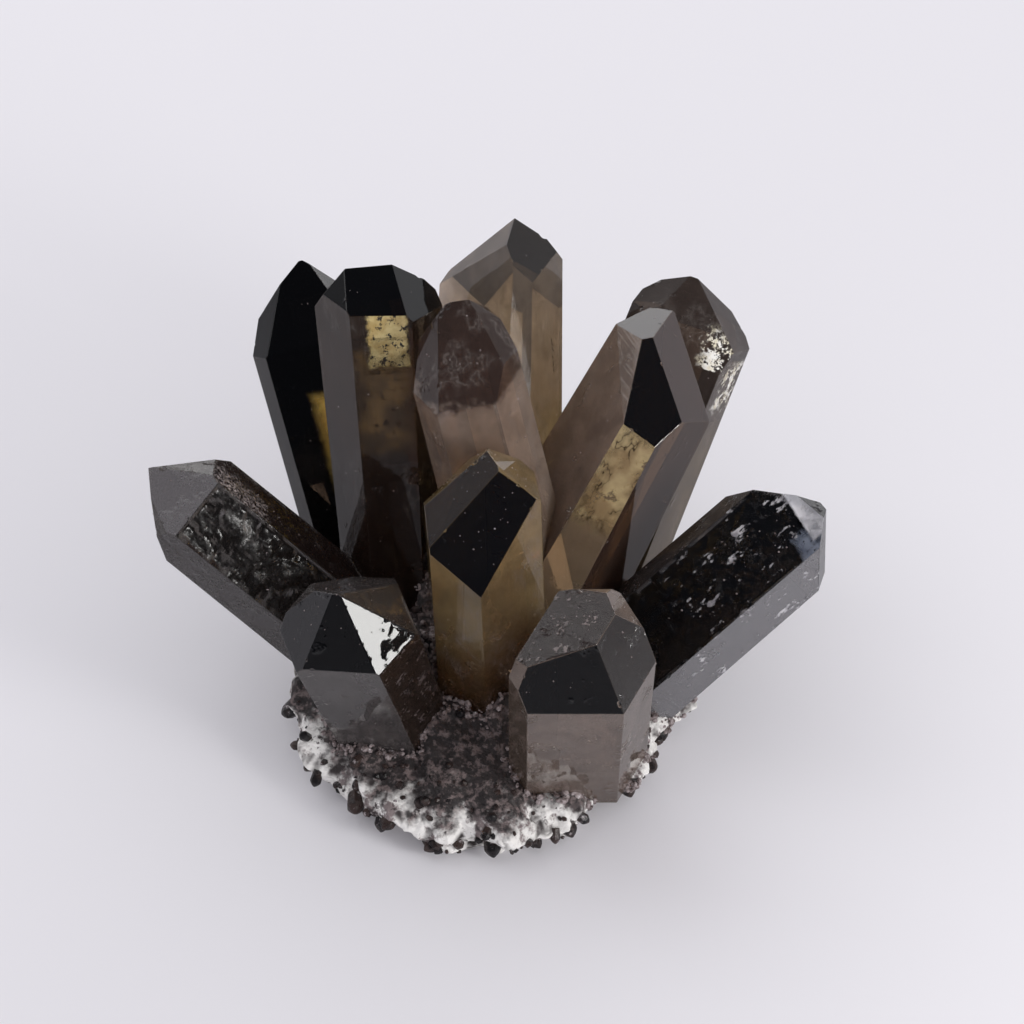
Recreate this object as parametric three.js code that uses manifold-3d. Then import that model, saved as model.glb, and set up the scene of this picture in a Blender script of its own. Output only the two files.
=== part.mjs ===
// Smoky phantom quartz cluster: eleven smoky crystals that grew on one lump of rock.
// Millimetres, +Z up. The origin is the middle of the flat underside, and the front is -Y.
// Each crystal is what its flat faces leave: six prism faces, six cap faces, a foot, and where its
// tip is blunt one face more. The rock is a lumpy dome with sockets for the crystals and a crust of
// small druse crystals.
import * as THREE from "three";
import { ConvexGeometry } from "three/addons/geometries/ConvexGeometry.js";
import { mergeVertices } from "three/addons/utils/BufferGeometryUtils.js";
import Module from "manifold-3d";

const wasm = await Module();
wasm.setup();

// Driving dimensions.
const GAP = 0.3; // left between two pieces that touch
const QUARTZ_CAP = 52; // angle in degrees between a natural cap face and a flat cut
const FACES = 6; // prism faces round a crystal, and as many cap faces

// The rock.
const ROCK_CENTRE = [0, 3.5]; // of its outline, in plan
const ROCK_HALF_WIDTH = 31; // along X, without the druse
const ROCK_HALF_DEPTH = 30.5; // along Y, without the druse
const CROWN_CENTRE = [0, 12]; // where the rock stands highest
const CROWN_SPREAD = 24; // how broad the crown is
const ROCK_HEART = new THREE.Vector3(0, 6, 2); // the point that its lumps stand away from
const RIM_HEIGHT = 7;
const CROWN_RISE = 17; // of the crown above the rim
const ROCK_DETAIL = 13; // how finely the rock's surface is divided
const BELOW_RIM = 16; // how far the sides reach down before the rock is cut off
const UNDERCUT = 0.35; // how quickly the sides turn in below the rim
const RIM_SHARE = 0.6; // how far up the rock's height its sides stand steep
const SHOULDER = 8; // the higher, the squarer the dome's shoulder
const BAY_WAVES = [
  { count: 3, share: 0.035, shift: 0.6 },
  { count: 5, share: 0.03, shift: 2.4 },
]; // bays of the outline: how many, how deep as a share of its reach, and where they start
const LUMP = 1.4; // height of the broad lumps
const KNOB = 0.7; // height of the small knobs on them

// The druse: small stubby crystals round the rim and over the rock.
const RIM_DRUSE = 140;
const RIM_DRUSE_WIDTH = [1.7, 3.1]; // narrowest and widest
const TOP_DRUSE = 62;
const TOP_DRUSE_WIDTH = [1.3, 2.4];
const DRUSE_CLEARANCE = 0.5; // from a druse crystal to the nearest big crystal
const RIM_BAND = [0.86, 1.42]; // where the rim's druse stands: 0 is the crown and 1 the rim
const TOP_BAND = [0.25, 0.9]; // where the druse over the rock stands
const DRUSE_FOOT = 0.46; // half the width at a druse crystal's foot, as a share of its width
const DRUSE_CAP = 0.45; // height of its point, as a share of its width
const DRUSE_HEIGHT = [0.6, 1.05]; // how tall it stands, as shares of its width
const DRUSE_SUNK = 0.5; // how deep its foot is sunk, as a share of its width
const DRUSE_TILT = 0.7; // how far druse crystals lean away from straight out
const DRUSE_FEW_WIDE = 1.5; // the higher, the fewer of them are wide
const GOLDEN_ANGLE = Math.PI * (3 - Math.sqrt(5));
const ANGLE_JITTER = 0.5; // in radians, so that the druse stands in no pattern

// Tolerances.
const WELD = 1e-4; // corners closer than this are one corner
const NO_CORNER = 1e-5; // planes nearer to parallel than this share no corner
const LOWEST = 1.98; // of the rock's skin, before its underside closes to a point at 2
const STEP = 0.04; // between two places on the rock that show which way its skin faces

// The crystals. tip: where the axis leaves the crystal. lean: degrees from upright. bearing: the way
// that it leans in plan, 0 along +X and 90 along +Y. length: from tip to foot. turn: of the prism
// about the axis. capTurn: of the cap against the prism. taper: how far a prism face leans in towards
// the tip. The faces run anticlockwise seen from the tip, and the first one faces the front.
// sides: from the axis to each prism face. cuts: how far below the tip each cap face, carried on,
// meets the axis. steep: each cap face's angle to a flat cut. blunt: a last face across the tip, by
// its tilt to the front, its tilt to the side, and how far below the tip it meets the axis.
const CRYSTALS = [
  {
    name: "crystal_centre_front",
    colour: 0x4a3a22,
    tip: [0, -0.5, 64.5],
    lean: 2,
    bearing: 218,
    length: 52,
    turn: -24,
    capTurn: 21,
    sides: [9.8, 7.8, 8, 9.2, 8, 9.1],
    cuts: [0.8, 2.7, 2.6, 0, 3.4, 5.7],
    steep: [65, 33, 49, 56, 53, 44],
  },
  {
    name: "crystal_front_right",
    colour: 0x4d4640,
    tip: [14, -25.5, 49],
    lean: 19,
    bearing: 270,
    length: 44,
    turn: 0,
    sides: [8.7, 10.1, 9.8, 8.7, 6.8, 10.8],
    cuts: [-3.3, -5, -9, -9, -9, -9],
    blunt: [-0.21, -0.34, 0],
  },
  {
    name: "crystal_front_left",
    colour: 0x33302f,
    tip: [-22.5, -14, 49],
    lean: 17,
    bearing: 229,
    length: 45,
    turn: -12,
    capTurn: 1,
    taper: 1.6,
    sides: [8.9, 10, 9.3, 12, 9, 10.6],
    cuts: [1.5, 0.8, 2.1, 3.7, 0.5, 2.1],
    steep: [52, 52, 53, 53, 51, 48],
  },
  {
    name: "crystal_back_left_inner",
    colour: 0x2f261c,
    tip: [-17, 34.5, 76],
    lean: 20,
    bearing: 97,
    length: 66,
    turn: 5,
    capTurn: 4,
    taper: 1.6,
    sides: [7.9, 8.7, 9.7, 8.6, 9.4, 7.8],
    cuts: [4.9, 2, 0.6, 7.6, 2.1, -1.5],
    steep: [42, 54, 51, 53, 50, 58],
  },
  {
    name: "crystal_upper_centre",
    colour: 0x54463c,
    tip: [-5.3, 19.7, 77],
    lean: 12,
    bearing: 156,
    length: 63,
    turn: 2,
    capTurn: 1,
    taper: -0.6,
    sides: [8.7, 7.8, 6.1, 8.7, 6, 8.6],
    cuts: [5.9, 2.2, 0.7, 2.3, 2.3, 2.1],
    steep: [50, 52, 52, 53, 51, 59],
  },
  {
    name: "crystal_back_right_inner",
    colour: 0x54473a,
    tip: [33, 31, 67.5],
    lean: 29,
    bearing: 29,
    length: 60,
    turn: -17,
    capTurn: 9,
    taper: -2.3,
    sides: [11.5, 9.8, 9.2, 8.6, 7.3, 6],
    cuts: [8.2, 11.4, -0.7, 0, 1.7, -4.7],
    steep: [47, 35, 67, 51, 52, 72],
    blunt: [-0.05, -0.48, 9],
  },
  {
    name: "crystal_left",
    colour: 0x2a2625,
    tip: [-54, 14, 47],
    lean: 46,
    bearing: 168,
    length: 48,
    turn: 38,
    taper: -0.4,
    sides: [6.8, 7.7, 8, 8.5, 7.6, 8],
    cuts: [2.3, 2.2, 2.9, 2.6, 3.6, 1.3],
    steep: [52, 45, 51, 52, 55, 47],
  },
  {
    name: "crystal_right",
    colour: 0x26262a,
    tip: [53, 6, 48.5],
    lean: 38,
    bearing: 2,
    length: 48,
    turn: 10,
    taper: -0.8,
    sides: [9.7, 9.1, 8.5, 8.5, 8.5, 6.5],
    cuts: [-8.5, 0, 6.5, 5.5, -22.6, -9],
    steep: [52, 52, 52, 52, 74, 52],
    blunt: [-0.04, -0.44, 0],
  },
  {
    name: "crystal_back_centre",
    colour: 0x6a6156,
    tip: [3.7, 51, 70],
    lean: 27,
    bearing: 86,
    length: 62,
    turn: 0,
    capTurn: -19,
    taper: -1.6,
    sides: [8.7, 7.7, 7.2, 9.7, 13.5, 3.3],
    cuts: [-1.4, 0.8, 0.4, 7, 0.7, 5.3],
    steep: [48, 52, 51, 53, 49, 58],
  },
  {
    name: "crystal_back_right_outer",
    colour: 0x3d332b,
    tip: [36.8, 49.8, 57.3],
    lean: 32,
    bearing: 49,
    length: 55,
    turn: -7,
    taper: -0.6,
    sides: [8.7, 9.5, 9, 8.7, 8.1, 8.7],
    cuts: [3.4, 5.1, 0.5, 5.4, -0.6, 1.4],
    steep: [55, 38, 50, 52, 51, 49],
  },
  {
    name: "crystal_back_left_outer",
    colour: 0x231f1d,
    tip: [-30.8, 50, 59.5],
    lean: 29,
    bearing: 119,
    length: 55,
    turn: 11,
    taper: 0.4,
    sides: [7.9, 8.7, 8.7, 8.7, 7, 11.1],
    cuts: [4.6, 2.2, 1.6, 2.1, 3.2, 1.7],
    steep: [53, 52, 52, 52, 47, 51],
  },
];

const UPRIGHT = new THREE.Vector3(0, 0, 1);
const radians = THREE.MathUtils.degToRad;
const lerp = THREE.MathUtils.lerp;

// A closed three.js geometry as a solid that can be joined and cut.
function solidFrom(geometry) {
  const bare = geometry.index ? geometry.toNonIndexed() : geometry.clone();
  bare.deleteAttribute("normal");
  bare.deleteAttribute("uv");
  const merged = mergeVertices(bare, WELD);
  const vertProperties = new Float32Array(merged.attributes.position.array);
  const triVerts = new Uint32Array(merged.index.array);
  return new wasm.Manifold(new wasm.Mesh({ numProp: 3, vertProperties, triVerts }));
}

// A solid as a named mesh with flat faces.
function meshFrom(solid, name, material) {
  const { vertProperties, triVerts } = solid.getMesh();
  const geometry = new THREE.BufferGeometry();
  geometry.setAttribute("position", new THREE.BufferAttribute(vertProperties, 3));
  geometry.setIndex(new THREE.BufferAttribute(triVerts, 1));
  const flat = geometry.toNonIndexed();
  flat.computeVertexNormals();
  const mesh = new THREE.Mesh(flat, material);
  mesh.name = name;
  return mesh;
}

// The solid that the given half-spaces leave. Each plane's normal points out.
function solidBetween(planes) {
  const corners = [];
  const isInside = (point) => planes.every((plane) => plane.distanceToPoint(point) < WELD);
  for (let a = 0; a < planes.length; a++)
    for (let b = a + 1; b < planes.length; b++)
      for (let c = b + 1; c < planes.length; c++) {
        const corner = cornerOf(planes[a], planes[b], planes[c]);
        if (corner && isInside(corner)) corners.push(corner);
      }
  return solidFrom(new ConvexGeometry(corners));
}

// The point that three planes share, if they have one.
function cornerOf(a, b, c) {
  const across = new THREE.Vector3().crossVectors(b.normal, c.normal);
  const spread = a.normal.dot(across);
  if (Math.abs(spread) < NO_CORNER) return null;
  return across
    .multiplyScalar(-a.constant)
    .addScaledVector(new THREE.Vector3().crossVectors(c.normal, a.normal), -b.constant)
    .addScaledVector(new THREE.Vector3().crossVectors(a.normal, b.normal), -c.constant)
    .divideScalar(spread);
}

// A plane through a point, facing along a direction.
function planeAt(normal, point) {
  return new THREE.Plane().setFromNormalAndCoplanarPoint(normal.clone().normalize(), point);
}

// A crystal's flat faces, each moved out by grow.
function facesOf(crystal, grow = 0) {
  const lean = radians(crystal.lean);
  const bearing = radians(crystal.bearing);
  const axis = new THREE.Vector3(
    Math.sin(lean) * Math.cos(bearing),
    Math.sin(lean) * Math.sin(bearing),
    Math.cos(lean),
  );
  const front = new THREE.Vector3(0, -1, 0).addScaledVector(axis, axis.y).normalize();
  const side = new THREE.Vector3().crossVectors(axis, front);
  const tip = new THREE.Vector3(...crystal.tip);
  const outward = (degrees) =>
    front
      .clone()
      .multiplyScalar(Math.cos(radians(degrees)))
      .addScaledVector(side, Math.sin(radians(degrees)));
  const belowTip = (depth) => tip.clone().addScaledVector(axis, -depth);
  const faces = [planeAt(axis.clone().negate(), belowTip(crystal.length))];
  const taper = radians(crystal.taper ?? 0);
  for (let k = 0; k < FACES; k++) {
    const angle = crystal.turn + k * (360 / FACES);
    const flat = outward(angle).multiplyScalar(Math.cos(taper)).addScaledVector(axis, -Math.sin(taper));
    faces.push(planeAt(flat, tip.clone().addScaledVector(flat, crystal.sides[k])));
    const steep = radians(crystal.steep?.[k] ?? QUARTZ_CAP);
    const cap = outward(angle + (crystal.capTurn ?? 0))
      .multiplyScalar(Math.sin(steep))
      .addScaledVector(axis, Math.cos(steep));
    faces.push(planeAt(cap, belowTip(crystal.cuts[k])));
  }
  if (crystal.blunt) {
    const [toFront, toSide, depth] = crystal.blunt;
    const across = axis.clone().addScaledVector(front, toFront).addScaledVector(side, toSide);
    faces.push(planeAt(across, belowTip(depth)));
  }
  faces.forEach((face) => (face.constant -= grow));
  return faces;
}

// The crystals, in order: where one would run into an earlier one, it ends at a contact face.
function makeCrystals() {
  const grown = [];
  const group = new THREE.Group();
  for (const crystal of CRYSTALS) {
    let solid = solidBetween(facesOf(crystal));
    for (const earlier of grown) solid = solid.subtract(earlier);
    grown.push(solidBetween(facesOf(crystal, GAP)));
    const material = new THREE.MeshStandardMaterial({
      color: crystal.colour,
      roughness: 0.12,
      metalness: 0,
      transparent: true,
      opacity: 0.8,
    });
    group.add(meshFrom(solid, crystal.name, material));
  }
  return { group, grown };
}

// A steady scatter between 0 and 1 for a whole number and a channel.
function scatter(index, channel) {
  const value = Math.sin(index * 12.9898 + channel * 78.233) * 43758.5453;
  return value - Math.floor(value);
}

// How far the rock's lumps stand out at a point: crossed waves 9 to 11 mm long, and on them waves of
// 4 to 5 mm, none of them in step with another.
function lumps(x, y, z) {
  const broad =
    Math.sin(0.62 * x + 0.9 * Math.sin(0.31 * y)) +
    Math.sin(0.57 * y + 1.3 + 0.8 * Math.sin(0.37 * z)) +
    Math.sin(0.71 * z + 0.4 * x + 2.1);
  const small =
    Math.sin(1.31 * x + 0.7 * y + 0.4) * Math.sin(1.17 * y - 0.5 * z + 1.9) +
    Math.sin(1.53 * z + 0.6 * x - 0.8 * y);
  return (LUMP * broad) / 2 + (KNOB * small) / 1.5;
}

// The rock's height over its flat underside at a place in plan, without its lumps.
function rockHeight(x, y) {
  const fromCrown = Math.hypot(x - CROWN_CENTRE[0], y - CROWN_CENTRE[1]) / CROWN_SPREAD;
  return RIM_HEIGHT + CROWN_RISE * Math.exp(-(fromCrown ** 2));
}

// The rock's outline in plan, as a distance from its centre.
function rockReach(angle) {
  let bays = 1;
  for (const wave of BAY_WAVES) bays += wave.share * Math.sin(wave.count * angle + wave.shift);
  return bays * Math.hypot(ROCK_HALF_WIDTH * Math.cos(angle), ROCK_HALF_DEPTH * Math.sin(angle));
}

// A point of the rock's skin for a direction from its middle: out is 0 at the crown and 1 at the
// rim, and it is past 1 below the rim.
function rockPoint(angle, out) {
  const rim = rockReach(angle);
  const reach = out < 1 ? rim * out : rim * (2 - out) ** UNDERCUT;
  const x = ROCK_CENTRE[0] + reach * Math.cos(angle);
  const y = ROCK_CENTRE[1] + reach * Math.sin(angle);
  const over = rockHeight(x, y);
  const dome = RIM_SHARE + (1 - RIM_SHARE) * Math.sqrt(Math.max(0, 1 - out ** SHOULDER));
  const z = out < 1 ? over * dome : over * RIM_SHARE - (out - 1) * BELOW_RIM;
  const point = new THREE.Vector3(x, y, z);
  const away = point.clone().sub(ROCK_HEART).normalize();
  return point.addScaledVector(away, lumps(x, y, z));
}

// The bare rock, cut off flat below.
function makeRock() {
  const geometry = new THREE.IcosahedronGeometry(1, ROCK_DETAIL);
  const position = geometry.attributes.position;
  const at = new THREE.Vector3();
  for (let i = 0; i < position.count; i++) {
    at.fromBufferAttribute(position, i);
    const out = at.angleTo(UPRIGHT) / (Math.PI / 2);
    const point = rockPoint(Math.atan2(at.y, at.x), Math.min(out, LOWEST));
    position.setXYZ(i, point.x, point.y, point.z);
  }
  const size = 4 * ROCK_HALF_WIDTH;
  const below = new THREE.BoxGeometry(size, size, size).translate(0, 0, -size / 2);
  return solidFrom(geometry).subtract(solidFrom(below));
}

// One druse crystal, a six-sided stub with a blunt point, sunk into the rock.
function makeDruse(foot, along, width, height) {
  const profile = [
    new THREE.Vector2(0, 0),
    new THREE.Vector2(width * DRUSE_FOOT, 0),
    new THREE.Vector2(width / 2, height),
    new THREE.Vector2(0, height + width * DRUSE_CAP),
  ];
  const stub = new THREE.LatheGeometry(profile, FACES);
  const turn = new THREE.Quaternion().setFromUnitVectors(new THREE.Vector3(0, 1, 0), along);
  stub.applyMatrix4(new THREE.Matrix4().compose(foot, turn, new THREE.Vector3(1, 1, 1)));
  return solidFrom(stub);
}

// Where the druse stands: a foot on the rock's skin, a direction, a width and a height.
function druseSpots() {
  const spots = [];
  const rows = [
    { count: RIM_DRUSE, width: RIM_DRUSE_WIDTH, band: RIM_BAND, channel: 0 },
    { count: TOP_DRUSE, width: TOP_DRUSE_WIDTH, band: TOP_BAND, channel: 9 },
  ];
  for (const row of rows)
    for (let i = 0; i < row.count; i++) {
      const chance = (channel) => scatter(i, row.channel + channel);
      const angle = i * GOLDEN_ANGLE + ANGLE_JITTER * chance(1);
      const out = lerp(...row.band, chance(2));
      const foot = rockPoint(angle, out);
      const beside = rockPoint(angle + STEP, out).sub(foot);
      const lower = rockPoint(angle, out + STEP).sub(foot);
      const tilt = new THREE.Vector3(chance(3), chance(4), chance(5)).subScalar(0.5);
      const along = new THREE.Vector3().crossVectors(lower, beside).normalize();
      along.addScaledVector(tilt, DRUSE_TILT).normalize();
      const width = lerp(...row.width, chance(6) ** DRUSE_FEW_WIDE);
      const height = width * lerp(...DRUSE_HEIGHT, chance(7));
      foot.addScaledVector(along, -DRUSE_SUNK * width);
      spots.push({ foot, along, width, height: height + DRUSE_SUNK * width - DRUSE_CAP * width });
    }
  return spots;
}

// Whether a druse crystal stays clear of the big crystals and of the flat underside.
function isClear(spot) {
  const middle = spot.foot.clone().addScaledVector(spot.along, spot.height / 2);
  const point = spot.foot.clone().addScaledVector(spot.along, spot.height);
  const reach = spot.width / 2 + DRUSE_CLEARANCE;
  if (Math.min(spot.foot.z, point.z) < reach) return false;
  return CRYSTALS.every((crystal) =>
    facesOf(crystal, reach).some((face) => face.distanceToPoint(middle) > 0),
  );
}

// The rock with its druse, and with a socket for each crystal.
function makeMatrix(grownCrystals) {
  let rock = makeRock();
  for (const spot of druseSpots().filter(isClear))
    rock = rock.add(makeDruse(spot.foot, spot.along, spot.width, spot.height));
  for (const crystal of grownCrystals) rock = rock.subtract(crystal);
  const material = new THREE.MeshStandardMaterial({ color: 0x8a7f7c, roughness: 0.85, metalness: 0 });
  return meshFrom(rock, "matrix", material);
}

const cluster = new THREE.Group();
const { group: crystals, grown } = makeCrystals();
cluster.add(crystals);
cluster.add(makeMatrix(grown));

export default cluster;
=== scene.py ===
"""Smoky phantom quartz cluster: eleven smoky crystals that grew on one lump of rock.

Shapes are worked out in millimetres and put in the scene in metres, +Z up, with the front at -Y.
"""
import logging
import math
from dataclasses import dataclass
from enum import Enum

import bmesh
import bpy
from mathutils import Matrix, Vector, noise


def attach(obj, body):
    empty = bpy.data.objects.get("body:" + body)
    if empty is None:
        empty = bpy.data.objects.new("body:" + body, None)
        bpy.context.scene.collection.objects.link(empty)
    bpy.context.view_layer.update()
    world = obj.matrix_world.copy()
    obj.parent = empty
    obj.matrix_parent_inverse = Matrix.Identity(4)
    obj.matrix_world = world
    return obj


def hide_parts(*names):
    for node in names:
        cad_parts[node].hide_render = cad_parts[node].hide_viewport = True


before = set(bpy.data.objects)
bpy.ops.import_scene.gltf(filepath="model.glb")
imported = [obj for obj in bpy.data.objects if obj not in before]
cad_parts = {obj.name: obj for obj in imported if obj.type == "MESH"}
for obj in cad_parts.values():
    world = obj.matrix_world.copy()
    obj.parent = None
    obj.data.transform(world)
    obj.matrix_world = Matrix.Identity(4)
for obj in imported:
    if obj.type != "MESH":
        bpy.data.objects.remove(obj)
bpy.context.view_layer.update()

LOG = logging.getLogger("quartz_cluster")

Span = tuple[float, float]
Triple = tuple[float, float, float]
Colour = tuple[float, float, float]

# Units and quartz
MM = 0.001
FACES = 6
QUARTZ_IOR = 1.544
QUARTZ_CAP = 52.0

# Fits and tolerances, in millimetres and radians
CONTACT_GAP = 0.06
SOCKET_GAP = 0.04
EDGE_ROUND = 0.1
CUT_TOLERANCE = 1e-5
MERGE = 0.004
ON_FACE = 0.03
SAME_WAY = 0.9995
FLAT = math.radians(0.4)
CORNER = math.radians(6)
BLOCK = 240.0

# Directions
GOLDEN_ANGLE = math.pi * (3 - math.sqrt(5))
FULL_TURN = 6.28
ORIGIN = (0.0, 0.0, 0.0)
UP = (0.0, 0.0, 1.0)


class Face(Enum):
    """The kinds of flat face round a crystal. The value is where its kind starts among the planes."""

    FOOT = 0
    SIDE = 1
    CAP = 2
    BLUNT = 13


# Nodes
class Board:
    """A node tree that nodes are laid on and joined."""

    def __init__(self, tree: bpy.types.NodeTree) -> None:
        """Args: tree: the node tree."""
        self.tree = tree

    def node(self, kind: str, *sources: object, **settings: object) -> bpy.types.Node:
        """Lays a node.

        Args:
            kind: the node's type name.
            sources: what feeds its first inputs.
            settings: its properties by name.

        Returns:
            The node.
        """
        made = self.tree.nodes.new(kind)
        for name, value in settings.items():
            setattr(made, name, value)
        for socket, source in zip(made.inputs, sources):
            self.feed(socket, source)
        return made

    def feed(self, target: bpy.types.NodeSocket, source: object) -> None:
        """Joins a socket to a source, or sets it where the source is a plain value.

        Args:
            target: the socket.
            source: another socket or a value.
        """
        if isinstance(source, bpy.types.NodeSocket):
            self.tree.links.new(source, target)
        elif isinstance(source, tuple) and target.type == "RGBA":
            target.default_value = (*source, 1.0)
        else:
            target.default_value = source

    def fill(self, node: bpy.types.Node, **sources: object) -> bpy.types.Node:
        """Feeds a node's inputs.

        Args:
            node: the node.
            sources: what feeds each input, by its name with _ for a space.

        Returns:
            The node.
        """
        for name, source in sources.items():
            self.feed(node.inputs[name.replace("_", " ")], source)
        return node

    def math(
        self, operation: str, first: object, second: object = 0.0, third: object = 0.0
    ) -> bpy.types.NodeSocket:
        """Returns the value of a Math node."""
        return self.node("ShaderNodeMath", first, second, third, operation=operation).outputs[0]

    def vector(self, operation: str, first: object, second: object = ORIGIN) -> bpy.types.NodeSocket:
        """Returns the vector of a Vector Math node, or the value of a dot product."""
        made = self.node("ShaderNodeVectorMath", first, second, operation=operation)
        return made.outputs["Value" if operation == "DOT_PRODUCT" else "Vector"]

    def scaled(self, vector: object, factor: object) -> bpy.types.NodeSocket:
        """Returns a vector times a number."""
        made = self.node("ShaderNodeVectorMath", vector, operation="SCALE")
        return self.fill(made, Scale=factor).outputs["Vector"]

    def parts(self, vector: object) -> list[bpy.types.NodeSocket]:
        """Returns a vector's three coordinates."""
        return self.node("ShaderNodeSeparateXYZ", vector).outputs[:]

    def blend(self, share: object, first: object, second: object) -> bpy.types.NodeSocket:
        """Returns a colour mixed from two."""
        made = self.node("ShaderNodeMix", share, data_type="RGBA")
        self.feed(made.inputs[6], first)
        self.feed(made.inputs[7], second)
        return made.outputs[2]

    def ramp(self, value: object, low: object, high: object) -> bpy.types.NodeSocket:
        """Returns 0 at low and 1 at high, with a soft step between them."""
        made = self.node("ShaderNodeMapRange", value, low, high, interpolation_type="SMOOTHSTEP")
        return made.outputs[0]

    def cloud(
        self, vector: object, scale: float, detail: float = 4.0, rough: float = 0.55,
        shift: Triple | None = None,
    ) -> bpy.types.NodeSocket:
        """Lays a noise texture.

        Args:
            vector: the place that it is read at.
            scale: how fine it is.
            detail: how many finer layers it has.
            rough: how strong those are.
            shift: keeps its pattern apart from the others.

        Returns:
            Its value.
        """
        if shift:
            vector = self.vector("ADD", vector, shift)
        made = self.node("ShaderNodeTexNoise")
        self.fill(made, Vector=vector, Scale=scale, Detail=detail, Roughness=rough)
        return made.outputs[0]

    def cells(self, vector: object, scale: float) -> bpy.types.NodeSocket:
        """Returns how far a place lies from the middle of its cell in a cell texture."""
        made = self.fill(self.node("ShaderNodeTexVoronoi"), Vector=vector, Scale=scale)
        return made.outputs["Distance"]

    def group(self, tree: bpy.types.NodeTree, **sources: object) -> dict[str, bpy.types.NodeSocket]:
        """Lays a shader group.

        Args:
            tree: the group.
            sources: what feeds its inputs, as in fill.

        Returns:
            Its outputs by name.
        """
        made = self.fill(self.node("ShaderNodeGroup", node_tree=tree), **sources)
        return {socket.name: socket for socket in made.outputs}


class Surface(Board):
    """A new material's node tree, with its main shader."""

    def __init__(self, name: str) -> None:
        """Args: name: the material's name."""
        self.material = bpy.data.materials.new(name)
        self.material.use_nodes = True
        super().__init__(self.material.node_tree)

    def look(self, **sources: object) -> None:
        """Feeds the main shader's inputs by their names, with _ for a space."""
        self.fill(self.tree.nodes["Principled BSDF"], **sources)

    def relief(self, height: object, strength: float, depth: float) -> None:
        """Gives the surface a fine relief.

        Args:
            height: its height map.
            strength: of its shading.
            depth: of it, in millimetres.
        """
        bump = self.node("ShaderNodeBump")
        self.fill(bump, Height=height, Strength=strength, Distance=depth * MM)
        self.look(Normal=bump.outputs[0])

    def smoke(self, takes: Colour) -> None:
        """Gives the inside a plain absorption.

        Args:
            takes: the share of red, green and blue taken from light, per metre.
        """
        density = 1.25 * max(takes)
        kept = tuple(1 - channel / density for channel in takes)
        made = self.fill(self.node("ShaderNodeVolumeAbsorption"), Color=kept, Density=density)
        self.fill(self.tree.nodes["Material Output"], Volume=made.outputs[0])


class Group(Board):
    """A new shader group's node tree."""

    def __init__(self, name: str, outputs: tuple[str, ...], **inputs: object) -> None:
        """Makes the group with its sockets.

        Args:
            name: the group's name.
            outputs: the outputs' names. Each is a number.
            inputs: each input's value when nothing feeds it.
        """
        super().__init__(bpy.data.node_groups.new(name, "ShaderNodeTree"))
        for label, value in inputs.items():
            kind = "NodeSocketFloat" if isinstance(value, float) else "NodeSocketVector"
            socket = self.tree.interface.new_socket(label, in_out="INPUT", socket_type=kind)
            socket.default_value = value
        for label in outputs:
            self.tree.interface.new_socket(label, in_out="OUTPUT", socket_type="NodeSocketFloat")
        self.given = self.node("NodeGroupInput").outputs

    def give(self, **sources: object) -> bpy.types.NodeTree:
        """Feeds the group's outputs and returns the finished group."""
        self.fill(self.node("NodeGroupOutput"), **sources)
        return self.tree


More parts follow.
